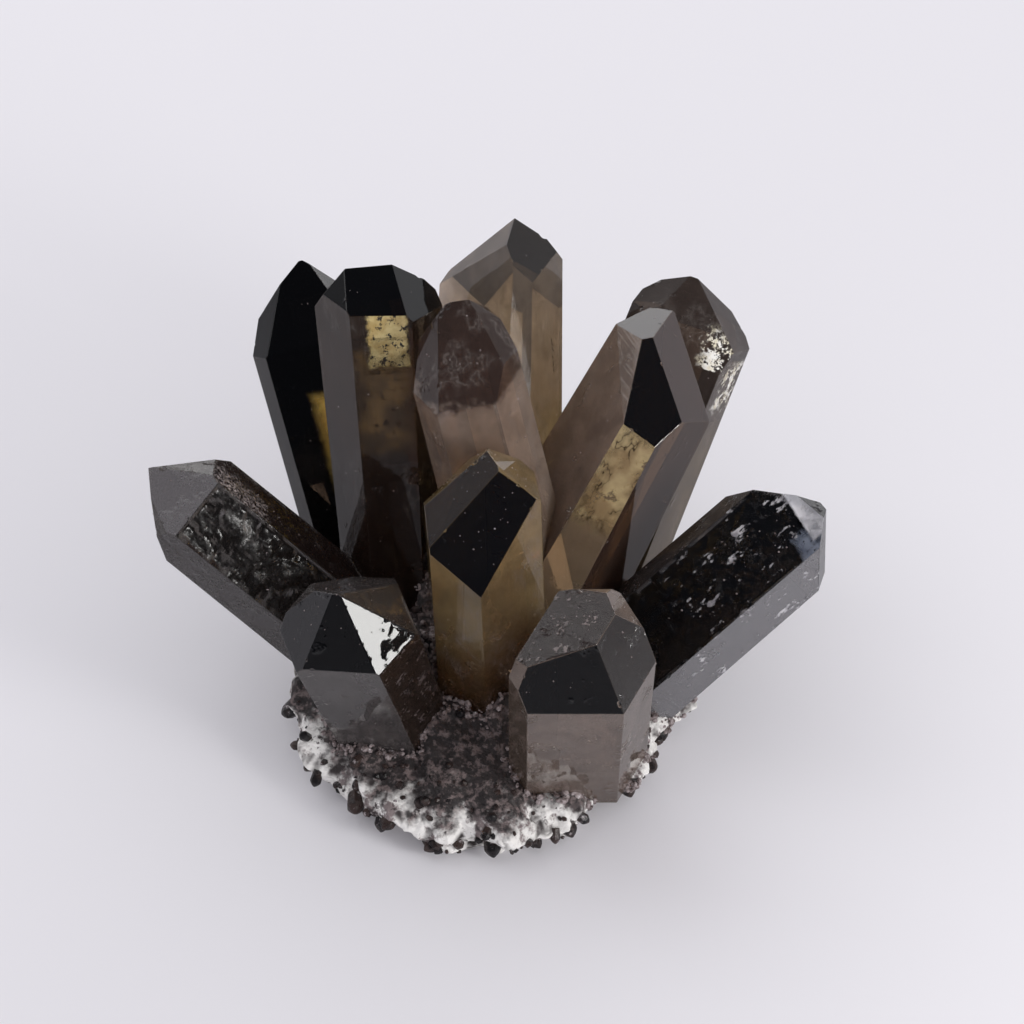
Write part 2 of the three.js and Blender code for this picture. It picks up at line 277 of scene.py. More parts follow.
class Effects:
    """The shader groups that several finishes share. Each takes a place in millimetres."""

    def __init__(self) -> None:
        """Builds every group once."""
        self.growth_lines = self._growth_lines()
        self.etching = self._etching()
        self.growth_level = self._growth_level()
        self.veils = self._veils()
        self.patch = self._patch()
        self.facet = self._facet()
        self.crust = self._crust()

    @staticmethod
    def _growth_lines() -> bpy.types.NodeTree:
        """Fine steps across the prism faces, square to the crystal's length."""
        board = Group("growth_lines", ("Height",), Place=ORIGIN, Strength=1.0)
        place = board.given["Place"]
        stretched = board.vector("MULTIPLY", place, (0.05, 0.05, 1.0))
        coarse = board.cloud(stretched, scale=0.9, detail=2.0, rough=0.7)
        fine = board.cloud(stretched, scale=3.2, detail=1.0, rough=0.6)
        wavy = board.cloud(place, scale=0.16, detail=1.0)
        both = board.math("MULTIPLY_ADD", fine, 0.2, coarse)
        total = board.math("MULTIPLY_ADD", wavy, 3.0, both)
        return board.give(Height=board.math("MULTIPLY", total, board.given["Strength"]))

    @staticmethod
    def _etching() -> bpy.types.NodeTree:
        """Natural etching: ragged pits and frosted patches."""
        board = Group("etching", ("Mask", "Height"), Place=ORIGIN, Amount=0.3, Scale=1.0)
        place = board.scaled(board.given["Place"], board.given["Scale"])
        broad = board.cloud(place, scale=0.22, detail=3.0, rough=0.62)
        edge = board.math("SUBTRACT", 0.72, board.math("MULTIPLY", board.given["Amount"], 0.34))
        patch = board.ramp(broad, edge, board.math("ADD", edge, 0.09))
        grain = board.cloud(place, scale=1.7, detail=3.0, rough=0.7)
        hollow = board.ramp(board.cells(place, scale=1.1), 0.08, 0.34)
        speck = board.ramp(grain, 0.5, 0.66)
        return board.give(
            Mask=board.math("MULTIPLY", patch, board.math("MULTIPLY_ADD", speck, 0.7, 0.3)),
            Height=board.math("MULTIPLY", patch, board.math("MULTIPLY_ADD", grain, 1.4, hollow)),
        )

    @staticmethod
    def _growth_level() -> bpy.types.NodeTree:
        """How deep a place lies under an earlier cap of the crystal: 1 below the depth, 0 above."""
        board = Group("growth_level", ("Mask",), Place=ORIGIN, Depth=10.0, Softness=3.0, Ragged=3.0)
        place = board.given["Place"]
        spread = None
        for angle in (0.0, math.radians(60.0), math.radians(120.0)):
            across = (math.sin(angle), math.cos(angle), 0.0)
            part = board.math("ABSOLUTE", board.vector("DOT_PRODUCT", place, across))
            spread = part if spread is None else board.math("MAXIMUM", spread, part)
        level = board.math("MULTIPLY_ADD", spread, 0.8, board.parts(place)[2])
        ragged = board.math("SUBTRACT", board.cloud(place, scale=0.3, detail=3.0, rough=0.6), 0.5)
        level = board.math("MULTIPLY_ADD", ragged, board.given["Ragged"], level)
        below = board.math("ADD", level, board.given["Depth"])
        half = board.math("MULTIPLY", board.given["Softness"], 0.5)
        return board.give(Mask=board.ramp(below, half, board.math("MULTIPLY", half, -1.0)))

    @staticmethod
    def _veils() -> bpy.types.NodeTree:
        """Healed cracks inside the quartz: thin wavy lines with a mist beside them, that come and go."""
        board = Group("veils", ("Mask",), Place=ORIGIN, Amount=0.5)
        place = board.vector("MULTIPLY", board.given["Place"], (1.0, 1.0, 0.5))
        wave = board.cloud(place, scale=0.3, detail=3.0, rough=0.62)
        away = board.math("ABSOLUTE", board.math("SUBTRACT", wave, 0.5))
        mist = board.math("MULTIPLY", board.ramp(away, 0.1, 0.0), 0.35)
        both = board.math("MAXIMUM", board.ramp(away, 0.016, 0.003), mist)
        where = board.cloud(place, scale=0.17, detail=1.0, shift=(13.0, 5.0, 21.0))
        shown = board.math("MULTIPLY", both, board.ramp(where, 0.46, 0.6))
        return board.give(Mask=board.math("MULTIPLY", shown, board.given["Amount"]))

    @staticmethod
    def _patch() -> bpy.types.NodeTree:
        """A patch with ragged edges: 1 inside a box, 0 outside."""
        board = Group(
            "patch", ("Mask",), Place=ORIGIN, Centre=ORIGIN, Half=(1.0, 1.0, 1.0), Edge=0.6, Ragged=0.5
        )
        place, edge = board.given["Place"], board.given["Edge"]
        off = board.vector("ABSOLUTE", board.vector("SUBTRACT", place, board.given["Centre"]))
        past = board.parts(board.vector("SUBTRACT", off, board.given["Half"]))
        far = board.math("MAXIMUM", past[0], board.math("MAXIMUM", past[1], past[2]))
        ragged = board.math("SUBTRACT", board.cloud(place, scale=0.75, detail=3.0, rough=0.6), 0.5)
        far = board.math("MULTIPLY_ADD", ragged, board.given["Ragged"], far)
        return board.give(Mask=board.ramp(far, edge, board.math("MULTIPLY", edge, -1.0)))

    @staticmethod
    def _facet() -> bpy.types.NodeTree:
        """One flat face: 1 where the surface faces the given way, within about 11 degrees."""
        board = Group("facet", ("Mask",), Normal=UP, Facing=UP)
        along = board.vector("DOT_PRODUCT", board.given["Normal"], board.given["Facing"])
        return board.give(Mask=board.ramp(along, 0.93, 0.98))

    @staticmethod
    def _crust() -> bpy.types.NodeTree:
        """Grainy relief of rock and druse."""
        board = Group("crust", ("Height", "Grain"), Place=ORIGIN, Scale=1.0)
        place = board.scaled(board.given["Place"], board.given["Scale"])
        grain = board.cloud(place, scale=1.3, detail=5.0, rough=0.72)
        crumb = board.cells(place, scale=1.6)
        return board.give(Height=board.math("MULTIPLY_ADD", crumb, -0.6, grain), Grain=grain)


# Finishes
def millimetres(board: Board) -> bpy.types.NodeSocket:
    """Returns the place on a piece, in millimetres."""
    return board.scaled(board.node("ShaderNodeTexCoord").outputs["Object"], 1 / MM)


def crystal_place(board: Board, crystal: "Crystal") -> bpy.types.NodeSocket:
    """Returns the place in a crystal's own frame, in millimetres from its tip."""
    place = board.node("ShaderNodeTexCoord").outputs["Object"]
    mapping = board.node("ShaderNodeMapping", place, vector_type="TEXTURE")
    turn = crystal.frame().to_euler()
    board.fill(mapping, Location=Vector(crystal.tip) * MM, Rotation=turn, Scale=(MM, MM, MM))
    return mapping.outputs[0]


def rough_mineral(
    name: str, effects: Effects, scale: float, rough: Span, relief: Span
) -> tuple[Surface, bpy.types.NodeSocket]:
    """Starts the material of a grainy mineral, with its gloss and its relief.

    Args:
        name: the material's name.
        effects: the shared shader groups.
        scale: how fine its grain is.
        rough: its roughness in the hollows of its grain, and how much rougher the rest is.
        relief: the strength and the depth of its relief.

    Returns:
        The surface, whose colour is still to come, and the place on it in millimetres.
    """
    surface = Surface(name)
    place = millimetres(surface)
    crust = surface.group(effects.crust, Place=place, Scale=scale)
    surface.look(Roughness=surface.math("MULTIPLY_ADD", crust["Grain"], rough[1], rough[0]))
    surface.relief(crust["Height"], *relief)
    return surface, place


@dataclass(frozen=True)
class FacetTint:
    """Another tint on one flat face of a crystal. The faces count round from the front.

    Most are painted shade and painted reflection: a face made darker or lighter than the rest, as the light
    on it shows it. Brown ones are partly the face's own dust.
    """

    face: Face
    index: int
    colour: Colour
    share: float = 1.0


@dataclass(frozen=True)
class GrowthBand:
    """Another tint from a given depth under the cap downwards: in some crystals a paler zone where the
    crystal grew on, in others only a darker tint towards the foot.
    """

    depth: float
    colour: Colour
    softness: float = 3.0
    ragged: float = 3.0


@dataclass(frozen=True)
class SmokyFinish:
    """Clear smoky quartz.

    slot: the record's material slot. takes: the share of red, green and blue that it takes from
    light, per metre. body: tint of its faces. clear: how much of it is clear, where the rest is
    milky. etched: how much of the surface is etched, and etch_scale how fine. lines: strength of
    its growth lines. roughness: where it isn't etched. veils: how much of it healed cracks fill,
    and veil their tint. drift: tint of its darker clouds. bands, facets: other tints below a depth
    and on single faces. The facet tints are mostly painted shade and painted reflection.
    """

    slot: str
    takes: Colour
    body: Colour
    clear: float
    etched: float
    etch_scale: float = 1.0
    lines: float = 1.0
    roughness: float = 0.03
    veils: float = 0.5
    veil: Colour = (0.8, 0.7, 0.64)
    drift: Colour = (0.1, 0.07, 0.06)
    bands: tuple[GrowthBand, ...] = ()
    facets: tuple[FacetTint, ...] = ()

    def material(self, name: str, crystal: "Crystal", effects: Effects) -> bpy.types.Material:
        """Makes the crystal's material.

        Args:
            name: the material's name.
            crystal: whose own frame the pattern follows.
            effects: the shared shader groups.

        Returns:
            The material.
        """
        glass = Surface(name)
        place = crystal_place(glass, crystal)
        colour = self.body
        for band in self.bands:
            level = glass.group(
                effects.growth_level,
                Place=place, Depth=band.depth, Softness=band.softness, Ragged=band.ragged,
            )
            colour = glass.blend(level["Mask"], colour, band.colour)
        clouded = glass.ramp(glass.cloud(place, scale=0.2, rough=0.6), 0.4, 0.64)
        colour = glass.blend(glass.math("MULTIPLY", clouded, 0.32), colour, self.drift)
        veils = glass.group(effects.veils, Place=place, Amount=self.veils)
        colour = glass.blend(veils["Mask"], colour, self.veil)
        normal = glass.node("ShaderNodeNewGeometry").outputs["True Normal"]
        # Painted shade and painted reflection: single faces tinted darker or lighter, a few partly by their
        # own dust.
        for tint in self.facets:
            facing = crystal.facing(tint.face, tint.index)
            facet = glass.group(effects.facet, Normal=normal, Facing=facing)
            colour = glass.blend(glass.math("MULTIPLY", facet["Mask"], tint.share), colour, tint.colour)
        etching = glass.group(effects.etching, Place=place, Amount=self.etched, Scale=self.etch_scale)
        lines = glass.group(effects.growth_lines, Place=place, Strength=self.lines)
        height = glass.math("MULTIPLY_ADD", lines["Height"], 0.12, etching["Height"])
        glass.relief(height, strength=0.55, depth=0.12)
        rough = glass.math("MULTIPLY_ADD", etching["Mask"], 0.4, self.roughness)
        glass.look(Base_Color=colour, Roughness=rough, Transmission_Weight=self.clear, IOR=QUARTZ_IOR)
        glass.smoke(self.takes)
        return glass.material


@dataclass(frozen=True)
class SmokeZone:
    """A darker growth zone under a crystal's cap, which begins without a surface of its own.

    depth: how thick it is, square to the cap faces. takes: as in SmokyFinish.
    """

    depth: float
    takes: Colour

    def material(self, name: str) -> bpy.types.Material:
        """Returns the zone's material, under the given name."""
        clear = Surface(name)
        clear.look(Base_Color=(1.0, 1.0, 1.0), Roughness=0.0, Transmission_Weight=1.0, IOR=1.0)
        clear.smoke(self.takes)
        return clear.material


@dataclass(frozen=True)
class FilmFinish:
    """A film of mineral, a healed crack, golden quartz painted bright as light shining through it, a
    painted reflection or painted glints on a crystal.

    name: part of its piece's name. light, dark: its two colours. cover: how much of its patch it
    fills. specks: how much of it is eaten by dark specks, and speck their tint. grain: how fine its
    pattern is. stretch: how far its pattern is drawn out along the crystal. clumps: how much it
    gathers in clumps. cracks: how much of it dark cracks cover, and crack their tint. edge, ragged:
    of the patch's rim. roughness: on the whole. strength: how well it hides what is under it.
    """

    name: str
    light: Colour
    dark: Colour
    cover: float
    specks: float
    grain: float
    stretch: float = 1.0
    clumps: float = 0.0
    cracks: float = 0.0
    edge: float = 0.6
    ragged: float = 2.5
    roughness: float = 0.3
    strength: float = 1.0
    speck: Colour = (0.02, 0.016, 0.012)
    crack: Colour = (0.06, 0.035, 0.012)

    def material(
        self, name: str, crystal: "Crystal", centre: Triple, half: Triple, effects: Effects
    ) -> bpy.types.Material:
        """Makes the film's material.

        Args:
            name: the material's name.
            crystal: that it belongs to.
            centre: of the patch that it fills, in the crystal's own frame.
            half: of that patch's size.
            effects: the shared shader groups.

        Returns:
            The material.
        """
        film = Surface(name)
        place = crystal_place(film, crystal)
        patch = film.group(
            effects.patch, Place=place, Centre=centre, Half=half, Edge=self.edge, Ragged=self.ragged
        )
        drawn = film.vector("MULTIPLY", place, (1.0, 1.0, 1.0 / self.stretch))
        fine = film.cloud(drawn, scale=1.1 * self.grain, rough=0.68)
        gathered = film.cloud(drawn, scale=0.33 * self.grain, detail=2.0, shift=(11.0, 3.0, 8.0))
        fine = film.math("MULTIPLY_ADD", film.math("SUBTRACT", gathered, 0.55), self.clumps, fine)
        tone = film.cloud(place, scale=0.45 * self.grain, detail=3.0, rough=0.6, shift=(5.0, 9.0, 2.0))
        colour = film.blend(film.ramp(tone, 0.36, 0.64), self.light, self.dark)
        speck = film.cloud(place, scale=0.95 * self.grain, rough=0.72, shift=(31.0, 4.0, 17.0))
        level = 0.7 - 0.3 * self.specks
        colour = film.blend(film.ramp(speck, level, level + 0.05), colour, self.speck)
        if self.cracks:
            cracks = film.group(effects.veils, Place=drawn, Amount=self.cracks)
            colour = film.blend(cracks["Mask"], colour, self.crack)
        level = 0.72 - 0.42 * self.cover
        alpha = film.math("MULTIPLY", patch["Mask"], film.ramp(fine, level - 0.04, level + 0.06))
        film.look(
            Base_Color=colour,
            Alpha=film.math("MULTIPLY", alpha, self.strength),
            Roughness=film.math("MULTIPLY_ADD", fine, 0.3, self.roughness - 0.15),
            Coat_Weight=1.0,
            Coat_Roughness=0.06,
            Coat_IOR=QUARTZ_IOR,
        )
        film.relief(fine, strength=0.5, depth=0.1)
        return film.material


@dataclass(frozen=True)
class FilmPatch:
    """A film on one of a crystal's faces, clipped to a box in the crystal's own frame.

    centre, half: the box's middle and half its size.
    """

    face: Face
    index: int
    centre: Triple
    half: Triple
    finish: FilmFinish


@dataclass(frozen=True)
class EtchedFace:
    """A face of a crystal whose surface is eaten into, to the given depth.

    grain: how fine the pattern is. step: of the grid that the face is cut into.
    """

    face: Face
    index: int
    depth: float
    grain: float = 1.0
    step: float = 0.42

    def eaten(self, place: Vector) -> float:
        """Returns how much of the depth is eaten away at a place, from broad hollows and small pits."""
        broad = noise.fractal(place * 0.3 * self.grain, 0.8, 2.1, 4)
        pit = noise.noise(place * 1.3 * self.grain + Vector((9, 4, 2)))
        return max(0.0, min(1.0, 0.45 + 0.7 * broad + 0.4 * pit))


# Shapes
Plane = tuple[Vector, Vector]


def within(span: Span, share: float) -> float:
    """Returns the value at a share of the way from a span's start to its end."""
    return span[0] + (span[1] - span[0]) * share


def scatter(index: int, channel: int) -> float:
    """Returns a steady scatter between 0 and 1 for a whole number. Each use has its own channel."""
    value = math.sin(index * 12.9898 + channel * 78.233) * 43758.5453
    return value - math.floor(value)


def cut_off(shape: bmesh.types.BMesh, point: Vector, normal: Vector, close: bool = True) -> None:
    """Cuts off what lies on the far side of a plane.

    Args:
        shape: the shape.
        point: on the plane.
        normal: towards what is cut off.
        close: whether the cut is closed.
    """
    bmesh.ops.bisect_plane(
        shape, geom=shape.verts[:] + shape.edges[:] + shape.faces[:], dist=CUT_TOLERANCE,
        plane_co=point, plane_no=normal, clear_outer=True,
    )
    rim = [edge for edge in shape.edges if edge.is_boundary]
    if close and rim:
        bmesh.ops.holes_fill(shape, edges=rim, sides=0)


def face_out(shape: bmesh.types.BMesh) -> None:
    """Turns all faces of a shape outwards."""
    bmesh.ops.recalc_face_normals(shape, faces=shape.faces[:])


def round_edges(
    shape: bmesh.types.BMesh, edges: list[bmesh.types.BMEdge], reach: float, steps: int
) -> None:
    """Rounds some edges of a shape.

    Args:
        shape: the shape.
        edges: those that are rounded.
        reach: how far from the edge.
        steps: in how many steps.
    """
    bmesh.ops.bevel(
        shape, geom=edges, offset=reach, segments=steps, profile=0.5, affect="EDGES",
        clamp_overlap=True, material=-1,
    )


def between(planes: list[Plane], around: Vector) -> bmesh.types.BMesh:
    """Cuts a block down to what the planes leave.

    Args:
        planes: each plane's normal, pointing out, and a point on it, in millimetres.
        around: a point inside.

    Returns:
        The shape, in millimetres.
    """
    made = bmesh.new()
    bmesh.ops.create_cube(made, size=BLOCK, matrix=Matrix.Translation(around))
    for normal, point in planes:
        cut_off(made, point, normal)
    face_out(made)
    return made


def to_object(shape: bmesh.types.BMesh, name: str, scale: float = 1.0) -> bpy.types.Object:
    """Puts a shape in the scene as an object at the origin, and frees it.

    Args:
        shape: the shape.
        name: the object's name.
        scale: what its coordinates are multiplied by.

    Returns:
        The object.
    """
    mesh = bpy.data.meshes.new(name)
    bmesh.ops.transform(shape, matrix=Matrix.Scale(scale, 4), verts=shape.verts[:])
    shape.to_mesh(mesh)
    shape.free()
    made = bpy.data.objects.new(name, mesh)
    bpy.context.scene.collection.objects.link(made)
    return made


def discard(piece: bpy.types.Object) -> None:
    """Takes a helper object out of the scene with its mesh."""
    mesh = piece.data
    bpy.data.objects.remove(piece)
    bpy.data.meshes.remove(mesh)


def to_shape(piece: bpy.types.Object) -> bmesh.types.BMesh:
    """Takes an object out of the scene again and returns its shape."""
    shape = bmesh.new()
    shape.from_mesh(piece.data)
    discard(piece)
    return shape


def cut_away(target: bpy.types.Object, shape: bmesh.types.BMesh) -> None:
    """Cuts a shape out of an object for good.

    Args:
        target: the object.
        shape: what is cut out of it. It is freed.
    """
    cutter = to_object(shape, "cutter")
    modifier = target.modifiers.new("cut", "BOOLEAN")
    modifier.operation = "DIFFERENCE"
    modifier.solver = "MANIFOLD"
    modifier.object = cutter
    bpy.context.view_layer.update()
    ready = target.evaluated_get(bpy.context.evaluated_depsgraph_get())
    old = target.data
    mesh = bpy.data.meshes.new_from_object(ready)
    target.modifiers.clear()
    target.data = mesh
    bpy.data.meshes.remove(old)
    discard(cutter)


def finish_piece(piece: bpy.types.Object, material: bpy.types.Material, slot: str, *nodes: str) -> None:
    """Gives a piece its material and the body that it rides on.

    Args:
        piece: the piece.
        material: its material.
        slot: the record's material slot. It is not used.
        nodes: the CAD nodes that it replaces.
    """
    piece.data.materials.clear()
    piece.data.materials.append(material)
    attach(piece, "root")
    if nodes:
        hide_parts(*nodes)
    LOG.info("%s: %d faces", piece.name, len(piece.data.polygons))


@dataclass
class Crystal:
    """One quartz crystal, as the flat faces round it.

    tip: where the axis leaves it. lean: degrees from upright. bearing: the way that it leans in
    plan. length: from tip to foot. turn: of the prism about the axis. sides: from the axis to each
    prism face. cuts: how far below the tip each cap face meets the axis. dusty: how many grains of
    dust lie on it. cap_turn: of the cap against the prism. taper: how far a prism face leans in.
    steep: each cap face's angle to a flat cut. blunt: a last face across the tip. chips: broken
    corners, each a direction in the crystal's own frame and how deep it is broken away. bites: how
    many small shells are broken out of its edges. bite_size: the smallest and the largest.
    bite_edge: the shortest edge with a shell. bite_reach: how far down they lie, as a share of the
    length. bite_margin: the share of an edge at its ends that stays whole. bite_out: how far a
    shell's middle lies off the edge, as a share of its size. smoke: a darker zone under its cap.
    films: thin films on its faces. etched: its faces that are eaten into. near: how near another
    crystal's axis comes where the two may touch. stride: between the points of the axes tried.
    """

    name: str
    finish: SmokyFinish
    tip: Triple
    lean: float
    bearing: float
    length: float
    turn: float
    sides: tuple[float, ...]
    cuts: tuple[float, ...]
    dusty: int
    cap_turn: float = 0.0
    taper: float = 0.0
    steep: tuple[float, ...] = (QUARTZ_CAP,) * FACES
    blunt: Triple | None = None
    chips: tuple[tuple[Triple, float], ...] = ()
    bites: int = 9
    bite_size: Span = (0.35, 1.0)
    bite_edge: float = 3.0
    bite_reach: float = 0.75
    bite_margin: float = 0.08
    bite_out: float = 0.72
    smoke: SmokeZone | None = None
    films: tuple[FilmPatch, ...] = ()
    etched: tuple[EtchedFace, ...] = ()
    near: float = 26.0
    stride: int = 3

    def axes(self) -> tuple[Vector, Vector, Vector]:
        """Returns the directions to its front, to its side and along its axis."""
        lean = math.radians(self.lean)
        bearing = math.radians(self.bearing)
        away = math.sin(lean)
        axis = Vector((away * math.cos(bearing), away * math.sin(bearing), math.cos(lean)))
        front = (Vector((0.0, -1.0, 0.0)) + axis * axis.y).normalized()
        return front, axis.cross(front), axis

    def frame(self) -> Matrix:
        """Returns the turn of its own frame: side, back and up."""
        front, side, axis = self.axes()
        return Matrix((side, -front, axis)).transposed()

    def planes(self, grow: float = 0.0, cap_grow: float | None = None) -> list[Plane]:
        """Returns its faces as planes.

        Args:
            grow: how far each face is moved out.
            cap_grow: how far the cap faces are moved out, where that differs.

        Returns:
            The planes, in the order of Face.
        """
        front, side, axis = self.axes()
        tip = Vector(self.tip)
        cap_grow = grow if cap_grow is None else cap_grow
        taper = math.radians(self.taper)
        made: list[Plane] = [(-axis, tip - axis * (self.length + grow))]
        for k in range(FACES):
            angle = math.radians(self.turn + k * 360 / FACES)
            out = front * math.cos(angle) + side * math.sin(angle)
            flat = out * math.cos(taper) - axis * math.sin(taper)
            made.append((flat, tip + flat * (self.sides[k] + grow)))
            angle += math.radians(self.cap_turn)
            steep = math.radians(self.steep[k])
            out = front * math.cos(angle) + side * math.sin(angle)
            cap = out * math.sin(steep) + axis * math.cos(steep)
            made.append((cap, tip - axis * self.cuts[k] + cap * cap_grow))
        if self.blunt:
            to_front, to_side, depth = self.blunt
            across = (axis + front * to_front + side * to_side).normalized()
            made.append((across, tip - axis * depth + across * cap_grow))
        return made

    def plane(self, face: Face, index: int) -> Plane:
        """Returns one of its faces as a plane."""
        return self.planes()[face.value + 2 * index]

    def facing(self, face: Face, index: int) -> Vector:
        """Returns which way one of its faces looks."""
        return self.plane(face, index)[0]

    def middle(self) -> Vector:
        """Returns a point inside it, halfway along."""
        return Vector(self.tip) - self.axes()[2] * self.length / 2

    def clearance(self, place: Vector) -> float:
        """Returns about how far a place lies outside it."""
        return max((place - point).dot(normal) for normal, point in self.planes())

    def solid(self, grow: float = 0.0, cap_grow: float | None = None) -> bmesh.types.BMesh:
        """Returns it as a shape, with each face moved out by grow and the cap faces by cap_grow."""
        shape = between(self.planes(grow, cap_grow), self.middle())
        turn = self.frame()
        for direction, depth in self.chips:
            normal = (turn @ Vector(direction)).normalized()
            furthest = max(vert.co.dot(normal) for vert in shape.verts)
            cut_off(shape, normal * (furthest - depth), normal)
        return shape

    def bite_places(self, shape: bmesh.types.BMesh) -> list[tuple[Vector, float]]:
        """Chooses where small shells are broken out of its edges near the tip.

        Args:
            shape: the crystal.

        Returns:
            Each shell's place and size.
        """
        axis = self.axes()[2]
        tip = Vector(self.tip)
        lowest = self.length * self.bite_reach
        edges = [
            edge
            for edge in shape.edges
            if edge.calc_length() > self.bite_edge and (tip - edge.verts[0].co).dot(axis) < lowest
        ]
        made: list[tuple[Vector, float]] = []
        for i in range(self.bites):
            edge = edges[int(scatter(i, 81 + len(self.name)) * len(edges)) % len(edges)]
            share = self.bite_margin + (1 - 2 * self.bite_margin) * scatter(i, 82 + len(self.name))
            size = within(self.bite_size, scatter(i, 83) ** 2)
            out = sum((face.normal for face in edge.link_faces), Vector(ORIGIN)).normalized()
            place = edge.verts[0].co.lerp(edge.verts[1].co, share) + out * size * self.bite_out
            if all((place - other).length > size + reach for other, reach in made):
                made.append((place, size))
        return made

    @staticmethod
    def bite(piece: bpy.types.Object, bites: list[tuple[Vector, float]]) -> None:
        """Breaks small shells out of a crystal.

        Args:
            piece: the crystal.
            bites: each shell's place and size.
        """
        if not bites:
            return
        shape = bmesh.new()
        squash = Matrix.Diagonal((1.0, 0.85, 1.15, 1.0))
        for i, (place, size) in enumerate(bites):
            turn = Matrix.Rotation(scatter(i, 71) * FULL_TURN, 4, (scatter(i, 72), scatter(i, 73), 0.3))
            lay = Matrix.Translation(place) @ turn @ squash
            bmesh.ops.create_icosphere(shape, subdivisions=3, radius=size, matrix=lay)
        cut_away(piece, shape)

    def etch(self, shape: bmesh.types.BMesh, etched: EtchedFace) -> None:
        """Eats into one face: cuts it into a fine grid and sinks the grid's inner points.

        Args:
            shape: the crystal.
            etched: the face and how deep it is eaten.
        """
        normal, point = self.plane(etched.face, etched.index)
        faces = {
            face
            for face in shape.faces
            if face.normal.dot(normal) > SAME_WAY and abs((face.verts[0].co - point).dot(normal)) < ON_FACE
        }
        axis = self.axes()[2]
        along = (axis - normal * axis.dot(normal)).normalized()
        for way in (along, normal.cross(along)):
            faces = self.strips(shape, faces, way, etched.step)
        corners = {vert for face in faces for vert in face.verts}
        for vert in [vert for vert in corners if faces.issuperset(vert.link_faces)]:
            vert.co -= normal * etched.depth * etched.eaten(vert.co)
        for face in faces:
            face.smooth = True
            for edge in face.edges:
                edge.smooth = faces.issuperset(edge.link_faces)

    @staticmethod
    def strips(
        shape: bmesh.types.BMesh, faces: set[bmesh.types.BMFace], way: Vector, step: float
    ) -> set[bmesh.types.BMFace]:
        """Cuts faces into uneven strips across a direction.

        Args:
            shape: that they belong to.
            faces: the faces.
            way: the direction.
            step: how wide a strip is.

        Returns:
            The strips.
        """
        edges = {edge for face in faces for edge in face.edges}
        verts = {vert for face in faces for vert in face.verts}
        levels = [vert.co.dot(way) for vert in verts]
        low, high = min(levels), max(levels)
        region: list = [*verts, *edges, *faces]
        for i in range(1, int((high - low) / step)):
            level = low + step * (i + 0.3 * scatter(i, 90))
            cut = bmesh.ops.bisect_plane(
                shape, geom=region, dist=CUT_TOLERANCE, plane_co=way * level, plane_no=way
            )
            region = cut["geom"]
        return {item for item in region if isinstance(item, bmesh.types.BMFace)}

    def build(self, earlier: list["Crystal"]) -> bpy.types.Object:
        """Builds the crystal, ended at contact faces where it meets the earlier ones.

        Args:
            earlier: the crystals that it ends at.

        Returns:
            Its object, in metres.
        """
        name = self.name + "_quartz"
        shape = self.solid()
        bites = self.bite_places(shape)
        piece = to_object(shape, name)
        for other in earlier:
            if self.may_touch(other):
                cut_away(piece, other.solid(CONTACT_GAP))
        shape = to_shape(piece)
        bmesh.ops.remove_doubles(shape, verts=shape.verts[:], dist=MERGE)
        bmesh.ops.dissolve_limit(shape, angle_limit=FLAT, verts=shape.verts[:], edges=shape.edges[:])
        sharp = [edge for edge in shape.edges if edge.is_manifold and edge.calc_face_angle(0.0) > CORNER]
        round_edges(shape, sharp, EDGE_ROUND, 2)
        face_out(shape)
        piece = to_object(shape, name)
        self.bite(piece, bites)
        shape = to_shape(piece)
        for etched in self.etched:
            self.etch(shape, etched)
        return to_object(shape, name, MM)

    def may_touch(self, other: "Crystal") -> bool:
        """Whether the other crystal's axis comes near enough for the two to touch."""
        mine, theirs = self.axes()[2], other.axes()[2]
        nearest = min(
            ((Vector(self.tip) - mine * a) - (Vector(other.tip) - theirs * b)).length
            for a in range(0, int(self.length) + self.stride, self.stride)
            for b in range(0, int(other.length) + self.stride, self.stride)
        )
        return nearest < self.near


# The tints and films that several crystals share. The facet tints are painted shade; some films are painted
# glow, painted reflection and painted glints.
# BLACK_FACET makes a face nearly black: partly the smoky cap's own darkness, partly painted shade of its
# dark reflections. DIM_FACET is painted shade that dims a face's reflection.
BLACK_FACET = (0.02, 0.021, 0.025)
DIM_FACET = (0.16, 0.145, 0.14)

# Painted glow: golden quartz painted bright, as light shining through the crystal shows it; the golden hue
# is partly the quartz's own.
LIT_GOLD_WINDOW = FilmFinish(
    "lit_gold_window", (0.66, 0.53, 0.24), (0.48, 0.34, 0.12), cover=1.1, specks=0.5, grain=1.1,
    edge=0.4, ragged=1.5,
)
# Painted glow: a dimmer golden haze round the window, as light shining through the crystal shows it.
LIT_GOLD_HAZE = FilmFinish(
    "lit_gold_haze", (0.16, 0.09, 0.025), (0.06, 0.032, 0.01), cover=0.8, specks=0.2, grain=0.5,
    edge=2.2, ragged=2.0, strength=0.75,
)
# Painted glow: a golden streak painted bright, as light shining through the crystal shows it.
LIT_GOLD_STREAK = FilmFinish(
    "lit_gold_streak", (0.98, 0.68, 0.14), (0.7, 0.42, 0.08), cover=1.1, specks=0.1, grain=0.4,
    edge=1.7, ragged=1.2,
)
# Painted glow: amber quartz painted bright, as light shining through the crystal shows it, with its own
# healed cracks.
LIT_AMBER_WINDOW = FilmFinish(
    "lit_amber_window", (0.55, 0.43, 0.23), (0.32, 0.22, 0.11), cover=0.9, specks=0.0, grain=0.4,
    cracks=1.0, edge=2.6, ragged=4.0, strength=0.85,
)
WHITE_FROST = FilmFinish(
    "frost", (0.6, 0.59, 0.61), (0.28, 0.27, 0.29), cover=0.2, specks=0.3, grain=1.4,
    stretch=2.2, clumps=1.3, edge=1.5, roughness=0.4,
)
